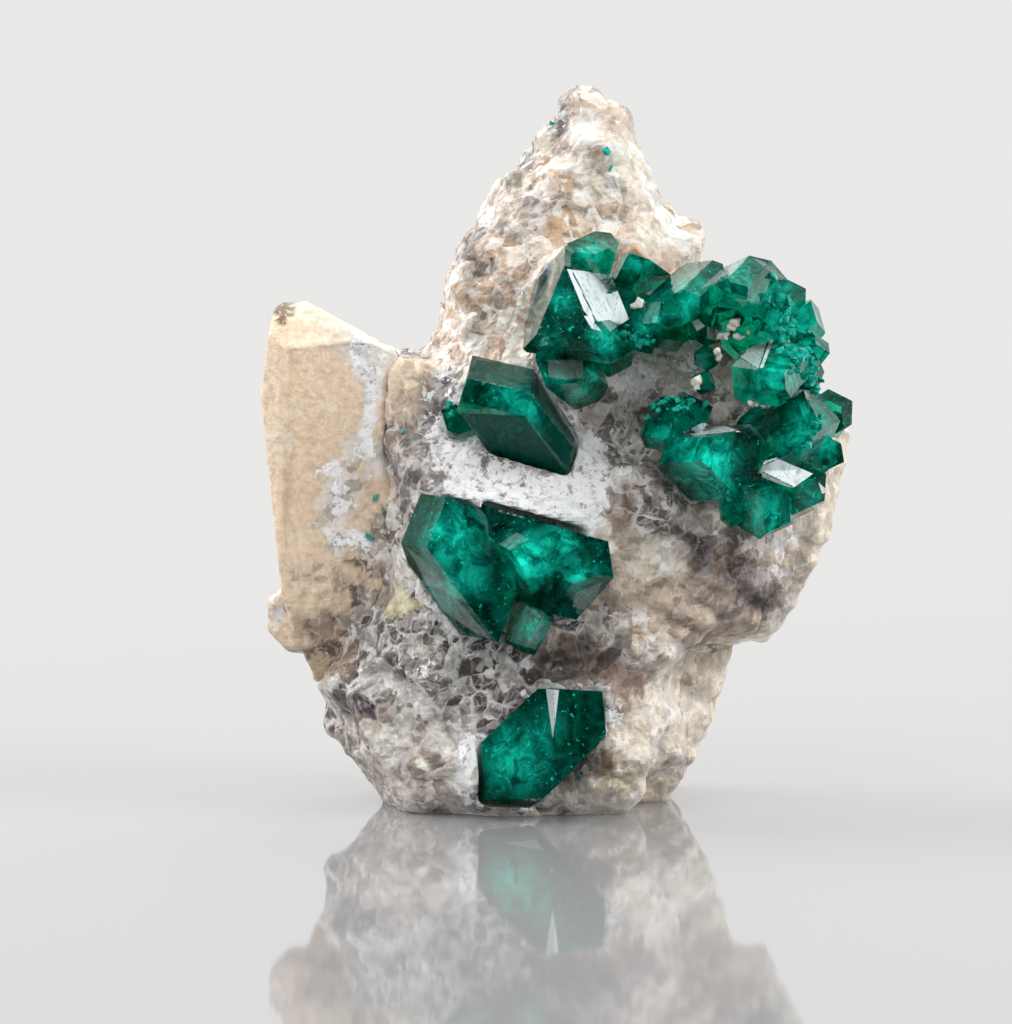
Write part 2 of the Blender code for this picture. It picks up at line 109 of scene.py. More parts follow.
TAUPE_BLOCK = Kind((GREY, 3, TAUPE, 4), 0.1, 1, 0.7, 0.06, 0.3)
SPECKLED = Kind((PURPLE, 3, GREY, 2, WHITE, 3), 0.35, 0.6, 0.4, 0.25, 0.7)
POWDER = Kind((WHITE, 5, MILKY, 1, GREY, 2), 0.78, 0.3, 0.35, 0.3, 0.9)
GREY_LUMPS = Kind((SMOKE, 2, GREY, 3, BEIGE, 3, MILKY, 4), 0.35, 0.9, 0.6, 0.2, 0.4)
BROWN_GRAIN = Kind((BROWN, 3, TAUPE, 2), 0, 0.4, 0.5, 0.05, 0.3, 0.3)
ROUND_GREY = Kind((SMOKE, 2, GREY, 5, TAUPE, 1), 0.05, 1, 0.9, 0.08, 0.25)
CREAM_CRUST = Kind((CREAM, 5, MILKY, 2), 0.15, 0.2, 0.3, 0.15, 0.6)
OLIVE_SMOOTH = Kind((TAUPE, 1, OLIVE_GREY, 3, BEIGE, 1), 0, 0.2, 0.35, 0.05, 0.3, 0.2)
VEINED = Kind((OLIVE_GREY, 3, BEIGE, 2), 0, 1, 0.8, 0.03, 0.3)
PURPLE_FLOW = Kind((SMOKE, 5, PURPLE, 5, GREY, 1), 0, 0.2, 0.25, 0.05, 0.25, 0.6)
BROWN_FLOW = Kind((SMOKE, 2, BROWN, 4, TAUPE, 2), 0, 0.15, 0.25, 0.05, 0.25, 0.5)
LEDGE_FLOW = Kind((TAUPE, 4, OLIVE_GREY, 3, BEIGE, 2), 0, 0.15, 0.4, 0.05, 0.35, 0.5)
RIM_STONE = Kind((IVORY, 3, MILKY, 1), 0, 0.06, 0.18, 0.05, 0.3, 0.2)
DARK_PIT = Kind((PIT, 3, SMOKE, 2, BROWN, 1), 0, 0.1, 0.5, 0.2, 0.6)
PINK_SMOOTH = Kind((TAUPE, 3, PINK, 1), 0.05, 0.2, 0.25, 0.05, 0.35, 0.2)
STREAKED = Kind((CREAM, 2, IVORY, 4, WHITE, 1), 0.1, 0.10, 0.2, 0.05, 0.35, 0.35)
BROWN_SPOT = Kind((BROWN, 1), 0, 0, 0.2, 0.05, 0.4)
KNOBS = Kind((CREAM, 3, YELLOW, 1, MILKY, 2), 0, 0.15, 0.9, 0.05, 0.4)
PURPLE_GRAINS = Kind((SMOKE, 4, PURPLE, 4, GREY, 3, MILKY, 1), 0.08, 1, 0.6, 0.15, 0.3)
DARK_CRUMBS = Kind((SMOKE, 4, PURPLE, 3, GREY, 2, MILKY, 3), 0.1, 0.9, 0.6, 0.3, 0.45)
YELLOW_CRUST = Kind((YELLOW, 4, CREAM, 1), 0.05, 0.3, 0.4, 0.1, 0.5)
CREAM_CRUMBS = Kind((SMOKE, 2, GREY, 2, CREAM, 3, MILKY, 4, YELLOW, 1), 0.3, 0.8, 0.6, 0.3, 0.55)
FOOT_CRUMBS = Kind((GREY, 2, BEIGE, 4, CREAM, 5, MILKY, 3), 0.15, 0.7, 0.6, 0.15, 0.45)
SLAB = Kind((CREAM, 1, IVORY, 3), 0, 0.05, 0.12, 0.05, 0.3, 0.45)

# Patches of the stone: kind, x, z, half width, half height, furthest back y, and for some a
# turn in degrees.
PATCHES = (
    (CREAM_TIP, 4.5, 67, 3.2, 2.8, 40),
    (WHITE_STONE, 3, 65, 1.8, 1, 40, 20),
    (TAUPE_STONE, 1.5, 63, 2.8, 1, 40, -5),
    (WHITE_STONE, 7.5, 62, 2.4, 4.6, 40, 20),
    (GREEN_PITS, 9.5, 58, 0.8, 2.2, 40, 15),
    (PEACH_LUMPS, 0.5, 60.5, 3.4, 1.8, 40, 10),
    (BEIGE_LUMPS, 3.5, 59, 2.6, 2.6, 40),
    (PALE_LUMPS, -5, 57.5, 2.6, 2.6, 40, 30),
    (OLIVE, -4, 60, 1, 1.6, 40, 10),
    (SHADED, -8, 53.5, 2, 2.6, 40, 10),
    (PEACH_LUMPS, -1, 55, 4.6, 1.4, 40, 5),
    (BEIGE_LUMPS, -2.5, 51.5, 3.4, 2.6, 40),
    (CREAM_LUMPS, -7.5, 47, 3.4, 4.2, 40, 10),
    (CREAM_LUMPS, 5, 57, 3, 2.4, 40),
    (WHITE_STONE, 9.5, 55, 4.2, 1.2, 40, -15),
    (PINK_STONE, 11, 52.5, 2.6, 2, 40, -20),
    (CREAM_LUMPS, 13, 55, 1.8, 2.4, 40),
    (PALE_LUMPS, 8, 59.5, 2, 1.4, 40),
    (TAN_SMOOTH, -14.5, 41.5, 2.6, 3.8, 0, -35),
    (PALE_BAND, -17.2, 40.5, 1.5, 6, 40, -14),
    (PALE_BAND, -18.6, 43.6, 1.1, 3.6, 40, 12),
    (PALE_BAND, -18.3, 36, 1.2, 4.4, 40, -4),
    (TAUPE_BLOCK, -15, 35, 2.4, 2.6, 0, -15),
    (TAUPE_BLOCK, -12.5, 32.5, 2.2, 2, 0, -35),
    (SPECKLED, -11.5, 39.5, 1.4, 3.8, 0),
    (POWDER, -9.5, 36.5, 2.8, 2.8, 0),
    (POWDER, -3.5, 30.5, 7.8, 2.6, 0, -12),
    (POWDER, 3, 31.5, 1.6, 4.8, 0, -10),
    (POWDER, -10, 32.5, 3.8, 2.4, 0),
    (GREY_LUMPS, 7, 36, 3.2, 3.8, 0),
    (POWDER, 9.5, 42, 4.8, 1.8, 0),
    (SHADED, 4.5, 39, 2, 2.2, 0),
    (BROWN_GRAIN, 6.5, 29, 1.6, 2.8, 0),
    (ROUND_GREY, 9, 29.5, 1.8, 3, 0),
    (SHADED, 9.5, 34, 1.4, 3.8, 0),
    (CREAM_CRUST, 6.5, 26.5, 2.8, 1.4, 0, -25),
    (CREAM_CRUST, 9.5, 25, 3.4, 1.4, 0, -25),
    (OLIVE_SMOOTH, 6.5, 22.5, 2.8, 3, 0),
    (VEINED, 7.5, 18.5, 2.4, 2, 6),
    (PURPLE_FLOW, 14.5, 24, 4.8, 2.2, 6, -30),
    (BROWN_FLOW, 17.5, 24.5, 2.6, 1.4, 6, -35),
    (PURPLE_FLOW, 16.5, 22.8, 5.2, 1.7, 6, -32),
    (PURPLE_FLOW, 19, 21.5, 2.8, 1.8, 6, -25),
    (PALE_LUMPS, 21.5, 23.5, 2.8, 2.4, 6),
    (WHITE_STONE, 15, 29, 2.6, 2, 6),
    (LEDGE_FLOW, 14, 18.5, 6, 2.2, 6, -5),
    (LEDGE_FLOW, 10, 21, 3.8, 2.2, 6, -20),
    (RIM_STONE, 23.5, 20, 3.4, 4.2, 8, 30),
    (DARK_PIT, 1.5, 16, 2.8, 1.6, 0, -10),
    (PINK_SMOOTH, 4.5, 12.5, 4.2, 2.6, 0, -10),
    (POWDER, 0.5, 12, 4.8, 1, 0),
    (POWDER, 5, 10, 1.2, 2.4, 0),
    (STREAKED, 6.5, 7.5, 2.8, 1.8, 4, -10),
    (BROWN_SPOT, 4.5, 6, 0.6, 1, 4),
    (KNOBS, 6, 4, 2.6, 2.2, 4),
    (RIM_STONE, 7, 1.5, 6.8, 2.4, 8),
    (STREAKED, 10.8, 9, 2.8, 7, 12, -14),
    (POWDER, -8.5, 6, 1, 3.8, 0, -10),
    (PURPLE_GRAINS, -18, 20.5, 4.2, 4.2, 4, 30),
    (PURPLE_GRAINS, -19, 13, 2.6, 3.8, 4),
    (DARK_CRUMBS, -10, 18, 4.8, 2.6, 2, -35),
    (DARK_CRUMBS, -5.5, 14, 3.8, 1.8, 2, -20),
    (YELLOW_CRUST, -15.5, 20.5, 1.4, 1.4, 2),
    (CREAM_CRUMBS, -13.5, 13.5, 5.2, 3.2, 4),
    (CREAM_CRUMBS, -16, 25.5, 2, 4.2, 2, 10),
    (FOOT_CRUMBS, -15, 4.5, 5.8, 5, 8),
    (PURPLE_GRAINS, -8.5, 10, 3.8, 2.4, 2),
    (DARK_PIT, -15, 13.5, 0.8, 0.6, 2),
    (DARK_PIT, -19.5, 14, 0.8, 0.4, 3, -20),
    (DARK_PIT, -20, 10, 0.8, 1.4, 3, 20),
    (PEACH_LUMPS, 3, 50, 14, 10, 60),
    (BLADE_CAP, -23.5, 47.5, 4.5, 1.6, 60, -12),
    (BROWN_SPOT, -26.5, 47.5, 0.6, 1.6, 60, -15),
    (BLADE_RIM, -28, 35, 1.1, 11, 60, 4),
    (BLADE_CRUMBS, -19, 30.5, 1.4, 2.6, 60, 10),
    (BLADE_CRUMBS, -24, 21.5, 2.6, 1.8, 60, 10),
    (BLADE_FOOT, -23, 15.5, 3.6, 3.4, 60, -20),
    (PALE_LUMPS, -27.5, 19, 1.2, 2.4, 60),
    (POWDER, -21, 33, 1.6, 1, 60, 25),
    (POWDER, -20.5, 30, 1.4, 1.8, 60, -20),
    (POWDER, -20, 26, 2.4, 1, 60, -15),
)
# A patch's edge: depth and size of its bays, and how suddenly it ends.
PATCH_BAYS = (0.9, 2.2)
PATCH_END = 2.0
# Small patches weigh more: this, over the half width and half height.
PATCH_WEIGHT = 9.0
# A kind's dark tone is the mean of its darkest grains up to this share, and its pale tone
# that of the palest ones from the second share on.
DARK_TO = 0.38
PALE_FROM = 0.62

# Stones: material's name, pale veins and feathers, slot, and the kind of all that no patch
# covers with its weight.
STONES = (
    ("matrix", "matrix_surface", 0.8, 0.0, "matrix", BODY, 0.06),
    ("calcite_blade", "blade_surface", 0.0, 0.55, "blade", BLADE, 0.35),
    ("calcite_slab", "slab_surface", 0.3, 0.0, "slab", SLAB, 0.3),
)

# Painted reflections: thin pale sheets on crystal faces for the white glints and grey sheen of
# the studio's lights; the corners' x and y in the photograph's pixels, and how pale.
PAINTED_REFLECTIONS = (
    ((567, 269, 611, 275, 629, 319, 620, 325, 609, 320, 594, 322, 584, 311), 0.88),
    ((584, 316, 589, 316, 601, 331, 592, 329), 0.85),
    ((683, 432, 702, 423, 719, 424, 741, 432, 729, 432, 694, 436), 0.85),
    ((757, 475, 765, 461, 777, 458, 813, 474, 795, 487, 788, 487), 0.90),
    ((729, 366, 739, 353, 768, 339, 758, 370), 0.40),
    ((760, 368, 770, 340, 774, 339, 763, 368), 0.80),
    ((700, 289, 722, 269, 747, 256, 729, 277), 0.22),
    ((752, 258, 764, 262, 786, 279, 776, 277), 0.16),
    ((548, 360, 583, 360, 583, 378, 566, 380, 548, 377), 0.14),
    ((408, 548, 424, 560, 492, 640, 478, 634, 442, 610), 0.16),
    ((488, 501, 540, 508, 602, 538, 560, 528, 500, 512), 0.28),
    ((514, 598, 545, 612, 536, 650, 505, 640), 0.08),
    ((576, 592, 602, 582, 590, 612, 572, 606), 0.16),
    ((818, 482, 828, 491, 822, 494), 0.80),
    ((691, 322, 698, 319, 705, 326, 697, 331), 0.75),
    ((706, 326, 721, 331, 718, 342, 707, 338), 0.30),
    ((546, 689, 559, 690, 553, 739), 0.60),
)

# Painted shade: thin dark sheets that darken crystal faces and hide their reflections, in the same
# way.
PAINTED_SHADE_SHEETS = (
    ((477, 360, 537, 369, 539, 395, 467, 380), 0.55),
    ((462, 413, 524, 416, 565, 471, 486, 454), 0.60),
    ((536, 372, 575, 437, 567, 470, 534, 404), 0.50),
)

# Milky zones of the crystals: middle and reach in the photograph's pixels, and how milky.
CLOUDS = (
    (520, 400, 30, 0.55), (502, 382, 14, 0.45), (535, 430, 16, 0.25),
    (452, 540, 30, 0.50), (440, 530, 12, 0.60), (470, 580, 22, 0.35),
    (528, 560, 24, 0.85), (560, 545, 20, 0.50), (580, 575, 16, 0.50), (528, 625, 18, 0.50),
    (450, 590, 22, 0.40), (515, 755, 34, 0.50), (545, 730, 20, 0.35),
    (590, 252, 14, 0.50), (562, 300, 14, 0.35), (604, 338, 16, 0.50), (548, 345, 14, 0.30),
    (640, 262, 18, 0.70), (690, 300, 22, 0.60), (742, 276, 16, 0.55), (780, 292, 14, 0.55),
    (795, 330, 26, 0.70), (775, 378, 26, 0.55), (650, 320, 14, 0.55), (745, 300, 16, 0.35),
    (705, 458, 26, 0.85), (716, 492, 20, 0.55), (668, 440, 16, 0.55), (800, 430, 26, 0.65),
    (825, 445, 14, 0.50), (765, 515, 22, 0.60), (810, 495, 12, 0.45),
    (597, 370, 11, 0.90), (580, 392, 14, 0.60), (560, 380, 12, 0.30), (752, 410, 18, 0.45),
)


def view_axes():
    """Where the photograph was taken from, and its backward, right and up directions."""
    rise = math.radians(CAMERA_RISE)
    back = Vector((0, -math.cos(rise), math.sin(rise)))
    right = Vector((1, 0, 0))
    return (Vector(CAMERA_AIM) + back * CAMERA_DISTANCE) * MM, back, right, back.cross(right)


def sight(across, down):
    """Start and direction of the sight line through a pixel of the photograph."""
    start, back, right, up = view_axes()
    far = FRAME_HEIGHT * CAMERA_LENS / CAMERA_SENSOR
    way = right * (across - FRAME_WIDTH / 2) - up * (down - FRAME_HEIGHT / 2) - back * far
    return start, way.normalized()


def linked(name, data):
    """A new object in the scene."""
    made = bpy.data.objects.new(name, data)
    bpy.context.scene.collection.objects.link(made)
    return made


def new_object(name, vertices, faces, surface):
    """A mesh object from arrays in metres."""
    mesh = bpy.data.meshes.new(name)
    mesh.from_pydata([tuple(v) for v in vertices], [], [tuple(int(i) for i in f) for f in faces])
    mesh.validate()
    mesh.materials.append(surface)
    return linked(name, mesh)


def smoothstep(low, high, value):
    """0 below low, 1 above high and a smooth step between."""
    share = np.clip((value - low) / (high - low), 0.0, 1.0)
    return share * share * (3.0 - 2.0 * share)


def remeshed(node, voxel):
    """A CAD node's mesh after a voxel remesh."""
    copy = linked("remesh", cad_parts[node].data.copy())
    modifier = copy.modifiers.new("remesh", "REMESH")
    modifier.mode = "VOXEL"
    modifier.voxel_size = voxel * MM
    graph = bpy.context.evaluated_depsgraph_get()
    mesh = bpy.data.meshes.new_from_object(copy.evaluated_get(graph))
    bpy.data.objects.remove(copy)
    return mesh


def read(items, field, width, kind=np.float32):
    """A field of every vertex or edge, one row for each."""
    values = np.empty(len(items) * width, kind)
    items.foreach_get(field, values)
    return values.reshape(-1, width)


def vertex_places(mesh):
    """Vertex places in millimetres."""
    return read(mesh.vertices, "co", 3).astype(float) / MM


def set_places(mesh, places):
    """Write vertex places, given in millimetres, back to a mesh."""
    mesh.vertices.foreach_set("co", (places * MM).astype(np.float32).ravel())
    mesh.update()


def spread(ends, values, rounds):
    """Average values over a mesh with their neighbours, along edges with these ends."""
    values = np.asarray(values, float).copy()
    size = len(values)
    count = np.bincount(ends.ravel(), minlength=size).astype(float)
    flat = values.reshape(size, -1)
    for _ in range(rounds):
        for column in range(flat.shape[1]):
            total = np.bincount(ends[:, 0], flat[ends[:, 1], column], size)
            total += np.bincount(ends[:, 1], flat[ends[:, 0], column], size)
            flat[:, column] = 0.5 * flat[:, column] + 0.5 * total / count
    return flat.reshape(values.shape)


# Lumps: flat sides, how many near ones are compared, the cell that holds one and its size,
# as shares of the spacing, and how much the size varies.
LUMP_SIDES = 9
LUMPS_NEAR = 4
LUMP_CELL = 0.9
LUMP_SIZE = 0.62
LUMP_VARIES = (0.7, 1.25)


class Lumps:
    """Grains over a surface, each a small many-sided solid."""

    def __init__(self, places, spacing, rng):
        order = rng.permutation(len(places))
        cells = np.floor((places[order] + rng.uniform(0, spacing, 3)) / (LUMP_CELL * spacing))
        _, first = np.unique(cells, axis=0, return_index=True)
        self.seeds = places[order[np.sort(first)]]
        count = len(self.seeds)
        tree = kdtree.KDTree(count)
        for k, seed in enumerate(self.seeds):
            tree.insert(seed, k)
        tree.balance()
        sides = rng.normal(0, 1, (count, LUMP_SIDES, 3))
        sides /= np.linalg.norm(sides, axis=2)[:, :, None]
        size = LUMP_SIZE * spacing * rng.uniform(*LUMP_VARIES, count)
        near = np.array([[found[1] for found in tree.find_n(p, LUMPS_NEAR)] for p in places])
        rise = np.empty(near.shape)
        for column in range(LUMPS_NEAR):
            seed = near[:, column]
            offset = places - self.seeds[seed]
            reach = np.einsum("ikj,ij->ik", sides[seed], offset).max(1)
            rise[:, column] = 1.0 - reach / size[seed]
        top = rise.argmax(1)
        self.own = near[np.arange(len(places)), top]
        ordered = np.sort(rise, axis=1)
        self.height = ordered[:, -1]
        self.border = (ordered[:, -1] - ordered[:, -2]) * spacing


def wobble(places, scale, seed):
    """Smooth noise from about -1 to 1 at each point; the scale may differ by direction."""
    shift = Vector((seed * 7.3, seed * 3.1, seed * 5.7))
    scaled = places / np.asarray(scale, float)
    return np.array([noise.noise(Vector(p) + shift) for p in scaled])


def patch_weights(places, rest_weight):
    """Weight of every patch, and last of the rest of the stone, at each point."""
    x = places[:, 0] + PATCH_BAYS[0] * wobble(places, PATCH_BAYS[1], 11)
    z = places[:, 2] + PATCH_BAYS[0] * wobble(places, PATCH_BAYS[1], 12)
    weights = []
    for _, at_x, at_z, half_width, half_height, back, *turn in PATCHES:
        cosine = math.cos(math.radians(sum(turn)))
        sine = math.sin(math.radians(sum(turn)))
        along = ((x - at_x) * cosine + (z - at_z) * sine) / half_width
        across = ((z - at_z) * cosine - (x - at_x) * sine) / half_height
        reach = along ** 2 + across ** 2
        small = PATCH_WEIGHT / (half_width + half_height)
        weights.append(small * np.exp(-PATCH_END * reach ** 2) * (places[:, 1] < back))
    weights.append(np.full(len(places), rest_weight))
    weights = np.stack(weights, 1)
    return weights / weights.sum(1)[:, None]


def kind_tones(kind):
    """Mean colour of a kind's dark grains, and of its pale ones."""
    grains = sorted(zip(kind.colours[::2], kind.colours[1::2]), key=lambda grain: sum(grain[0]))
    colours = np.array([colour for colour, _ in grains])
    shares = np.array([share for _, share in grains], float)
    before = (np.cumsum(shares) - shares) / shares.sum()
    after = np.cumsum(shares) / shares.sum()
    dark = np.clip(DARK_TO - before, 0, after - before)
    pale = np.clip(after - PALE_FROM, 0, after - before)
    return (dark @ colours / dark.sum(), pale @ colours / pale.sum())


def add_attribute(mesh, name, values):
    """Store one number or colour for each vertex."""
    if values.ndim == 1:
        layer = mesh.attributes.new(name, "FLOAT", "POINT")
        layer.data.foreach_set("value", values.astype(np.float32))
    else:
        layer = mesh.attributes.new(name, "FLOAT_COLOR", "POINT")
        full = np.ones((len(values), 4), np.float32)
        full[:, :3] = np.clip(values, 0, 1)
        layer.data.foreach_set("color", full.ravel())


class Nodes:
    """Short ways to build the node tree of a material or of the world."""

    def __init__(self, owner, shader="Principled BSDF"):
        self.owner = owner
        owner.use_nodes = True
        self.tree = owner.node_tree
        self.shader = self.tree.nodes[shader]

    def feed(self, socket, value):
        """Give an input a node's output, a colour or a number; None leaves it as it is."""
        if isinstance(value, bpy.types.NodeSocket):
            self.tree.links.new(value, socket)
        elif value is not None:
            socket.default_value = (*value, 1.0) if socket.type == "RGBA" else value

    def add(self, kind, *inputs, **values):
        """Add a node with its first inputs, and its properties and other inputs by name."""
        node = self.tree.nodes.new(kind)
        for name, value in values.items():
            if hasattr(node, name):
                setattr(node, name, value)
            else:
                self.feed(node.inputs[name.replace("_", " ")], value)
        for socket, value in zip(node.inputs, inputs):
            self.feed(socket, value)
        return node

    def set(self, **values):
        """Set or link the shader's inputs."""
        for name, value in values.items():
            self.feed(self.shader.inputs[name.replace("_", " ")], value)

    def attribute(self, name, output="Fac"):
        """A number or a colour that the mesh stores for each vertex."""
        return self.add("ShaderNodeAttribute", attribute_name=name).outputs[output]

    def vector(self, operation, *values, **more):
        return self.add("ShaderNodeVectorMath", *values, operation=operation, **more).outputs[0]

    def maths(self, operation, *values):
        return self.add("ShaderNodeMath", *values, operation=operation).outputs[0]

    def times(self, first, *others):
        """The product of numbers and node outputs."""
        for other in others:
            first = self.maths("MULTIPLY", first, other)
        return first

    def noise(self, place, scale, detail=4.0, distortion=0.0, roughness=0.5, output="Fac"):
        return self.add("ShaderNodeTexNoise", Vector=place, Scale=scale, Detail=detail,
                        Roughness=roughness, Distortion=distortion).outputs[output]

    def grains(self, place, scale, feature="F1"):
        """The outputs of a pattern of straight-sided grains."""
        return self.add("ShaderNodeTexVoronoi", Vector=place, Scale=scale, feature=feature).outputs

    def ramp(self, source, *stops):
        """A colour ramp through (position, grey or colour) stops."""
        node = self.add("ShaderNodeValToRGB", source)
        elements = node.color_ramp.elements
        while len(elements) < len(stops):
            elements.new(0.5)
        for element, (position, value) in zip(elements, stops):
            element.position = position
            grey = (value, value, value) if isinstance(value, (int, float)) else value
            element.color = (*grey, 1.0)
        return node.outputs["Color"]

    def mix(self, factor, a, b, blend="MIX"):
        """Mix two colours; each may be a colour or a node output."""
        node = self.add("ShaderNodeMix", factor, data_type="RGBA", blend_type=blend)
        self.feed(node.inputs[6], a)
        self.feed(node.inputs[7], b)
        return node.outputs[2]

    def bump(self, height, distance, strength=1.0, under=None):
        """Relief of so many millimetres, over another relief."""
        return self.add("ShaderNodeBump", Height=height, Normal=under, Strength=strength,
                        Distance=distance * MM).outputs[0]


def new_material(name):
    """A new material's nodes, and object coordinates in millimetres."""
    made = Nodes(bpy.data.materials.new(name))
    at = made.add("ShaderNodeTexCoord").outputs["Object"]
    return made, made.vector("SCALE", at, Scale=1 / MM)


# The grains grow coarser from this place up to the peak.
PEAK_FOOT = (3.0, 0.0, 44.0)
PEAK_RISE = 10.0
PEAK_FINENESS = 0.75
# Grains and fine grains for each millimetre, how far they bend, and the share of each in
# how dark a spot is.
GRAINS = 0.50
FINE_GRAINS = 1.30
BEND = (2.0, 2.0, 2.0)
GRAIN_SHARE = 0.62
FINE_SHARE = 0.38
# Where the bump of a grain levels out.
GRAIN_TOP = 0.22


def powder_chalk(made, place):
    """Colour of the white powder, with darker spots that lie in clusters."""
    spots = made.ramp(made.noise(place, 1.5, 4.0, 0.0, 0.7),
                      (0.36, (0.34, 0.30, 0.32)), (0.48, (0.97, 0.97, 0.99)))
    clean = made.ramp(made.noise(place, 0.45, 3.0), (0.44, 0.0), (0.56, 0.8))
    return made.mix(clean, spots, (0.97, 0.97, 0.98))


def stone_surface(name, veins, feathers):
    """Glassy stone: crisp grains, pale veins and white powder with a ragged edge."""
    made, place = new_material(name)
    scaled = made.vector("SCALE", made.vector("SUBTRACT", place, PEAK_FOOT),
                         Scale=made.attribute("fineness"))
    bend = made.noise(place, 0.5, 2.0, output="Color")
    bent = made.vector("MULTIPLY_ADD", bend, BEND, scaled)
    net = made.grains(bent, GRAINS, "DISTANCE_TO_EDGE")["Distance"]
    fine_net = made.grains(bent, FINE_GRAINS, "DISTANCE_TO_EDGE")["Distance"]
    chance, fine_chance = (
        made.add("ShaderNodeSeparateColor", made.grains(bent, scale)["Color"]).outputs
        for scale in (GRAINS, FINE_GRAINS))

    pick = made.maths("ADD", made.times(chance[0], GRAIN_SHARE),
                      made.times(fine_chance[0], FINE_SHARE))
    pick = made.ramp(pick, (0.42, 0.0), (0.58, 1.0))
    colour = made.mix(pick, made.attribute("dark", "Color"), made.attribute("light", "Color"))
    if not feathers:
        shades = made.ramp(fine_chance[1], (0.0, 0.75), (1.0, 1.2))
        colour = made.mix(1.0, colour, shades, "MULTIPLY")
    mottle = made.ramp(made.noise(place, 1.6, 3.0, 0.0, 0.6),
                       (0.3, (0.86, 0.84, 0.83)), (0.7, (1.14, 1.15, 1.16)))
    colour = made.mix(1.0, colour, mottle, "MULTIPLY")

    patchy = made.ramp(made.noise(place, 0.6, 3.0), (0.40, 0.15), (0.52, 1.0))
    width = made.ramp(made.noise(place, 1.0, 4.0), (0.36, 0.03), (0.62, 0.20))
    lines = made.ramp(made.maths("DIVIDE", net, width), (0.45, 1.0), (0.85, 0.0))
    thin = made.ramp(fine_net, (0.0, 0.5), (0.03, 0.4), (0.10, 0.0))
    lines = made.times(made.maths("MAXIMUM", lines, thin), patchy, made.attribute("veins"), veins)
    colour = made.mix(lines, colour, WHITE)

    soft = made.bump(made.noise(place, 0.8, 3.0), 0.3)
    if feathers:
        marks = made.noise(made.vector("MULTIPLY", place, (1.0, 1.0, 0.8)), 0.9, 3.0, 1.6)
        shown = made.ramp(marks, (0.54, 0.0), (0.62, feathers))
        colour = made.mix(shown, colour, (0.93, 0.80, 0.64))
        relief = made.bump(marks, 0.08, 1.0, soft)
    else:
        crisp = made.maths("MULTIPLY_ADD", made.attribute("veins"), 0.9, 0.12)
        height = made.times(made.maths("MINIMUM", net, GRAIN_TOP), crisp)
        relief = made.bump(height, 1.0, 0.85, soft)

    ragged = made.maths("SUBTRACT", made.noise(place, 1.1, 4.0, 0.0, 0.66), 0.5)
    amount = made.maths("ADD", made.attribute("powder"), made.times(ragged, 2.4))
    white = made.ramp(amount, (0.48, 0.0), (0.62, 1.0))
    made.set(Base_Color=made.mix(white, colour, powder_chalk(made, place)), Normal=relief,
             Roughness=made.maths("MAXIMUM", made.attribute("rough"), made.times(white, 0.9)),
             IOR=1.55)
    return made.owner


CRYSTAL_IOR = 1.66
CRYSTAL_ABSORBS = (0.02, 0.93, 0.90)
CRYSTAL_DENSITY = 1600.0


def crystal_surface():
    """Clear green crystal with milky zones, flecks and fine pits."""
    made, place = new_material("green_crystal")
    drift = made.ramp(made.noise(place, 0.55, 5.0, 0.8, 0.68), (0.36, 0.22), (0.60, 1.0))
    cloud = made.times(made.attribute("cloud"), 1.3, drift)
    flecks = made.ramp(made.noise(place, 2.3, 1.0), (0.68, 0.0), (0.74, 0.45))
    cloud = made.maths("MINIMUM", made.maths("ADD", cloud, flecks), 0.92)
    ripple = made.bump(made.noise(place, 0.7, 2.0), 0.03, 0.5)
    pits = made.ramp(made.noise(place, 3.2, 1.0), (0.27, 0.0), (0.34, 1.0))
    made.set(Transmission_Weight=made.maths("SUBTRACT", 1.0, cloud),
             Base_Color=made.ramp(drift, (0.2, (0.0, 0.46, 0.32)), (1.0, (0.01, 0.85, 0.62))),
             Normal=made.bump(pits, 0.04, 0.6, ripple), Roughness=0.06, IOR=CRYSTAL_IOR,
             Specular_IOR_Level=0.2, Specular_Tint=(0.2, 0.8, 0.68))
    volume = made.add("ShaderNodeVolumeAbsorption", CRYSTAL_ABSORBS, CRYSTAL_DENSITY)
    made.feed(made.tree.nodes["Material Output"].inputs["Volume"], volume.outputs[0])
    return made.owner


def painted_sheet_surface(name, colour, gloss):
    """Thin sheets of painted reflection and painted shade: how solid they look is stored on each.
    """
    made, place = new_material(name)
    streaks = made.noise(made.vector("MULTIPLY", place, (2.6, 1.0, 0.45)), 0.9, 6.0, 0.8)
    broken = made.ramp(streaks, (0.30, 0.55), (0.50, 1.0))
    made.set(Alpha=made.times(made.attribute("pale"), broken), Base_Color=colour,
             Roughness=0.35, IOR=1.5, Specular_IOR_Level=gloss)
    return made.owner


def veil_surface():
    """Healed fractures inside the crystals: thin, pale and half clear."""
    made, place = new_material("veil")
    wisps = made.ramp(made.noise(place, 0.8, 7.0, 1.2), (0.44, 0.0), (0.66, 0.85))
    made.set(Alpha=wisps, Base_Color=(0.75, 1.0, 0.95), Roughness=0.4, IOR=1.2)
    return made.owner


def chip_surface():
    """Pale calcite with soft mottling, a little translucent."""
    made, place = new_material("calcite_chips_looks")
    mottle = made.ramp(made.noise(place, 1.4, 5.0), (0.3, 0.78), (0.7, 1.1))
    made.set(Base_Color=made.mix(1.0, (0.80, 0.75, 0.68), mottle, "MULTIPLY"),
             Normal=made.bump(made.noise(place, 3.0, 5.0), 0.12), Roughness=0.5,
             Subsurface_Weight=0.3, Subsurface_Scale=0.6 * MM)
    return made.owner


def fine_green():
    """Small green crystals, clear but bright."""
    made, place = new_material("fine_green")
    tone = made.ramp(made.noise(place, 1.5, 3.0),
                     (0.35, (0.0, 0.42, 0.31)), (0.65, (0.03, 0.85, 0.66)))
    made.set(Base_Color=tone, Roughness=0.06, IOR=CRYSTAL_IOR, Transmission_Weight=0.45)
    return made.owner


# Even grids of points: height of a row and margin to the outline, in steps.
GRID_ROW = 0.87
GRID_MARGIN = 0.45
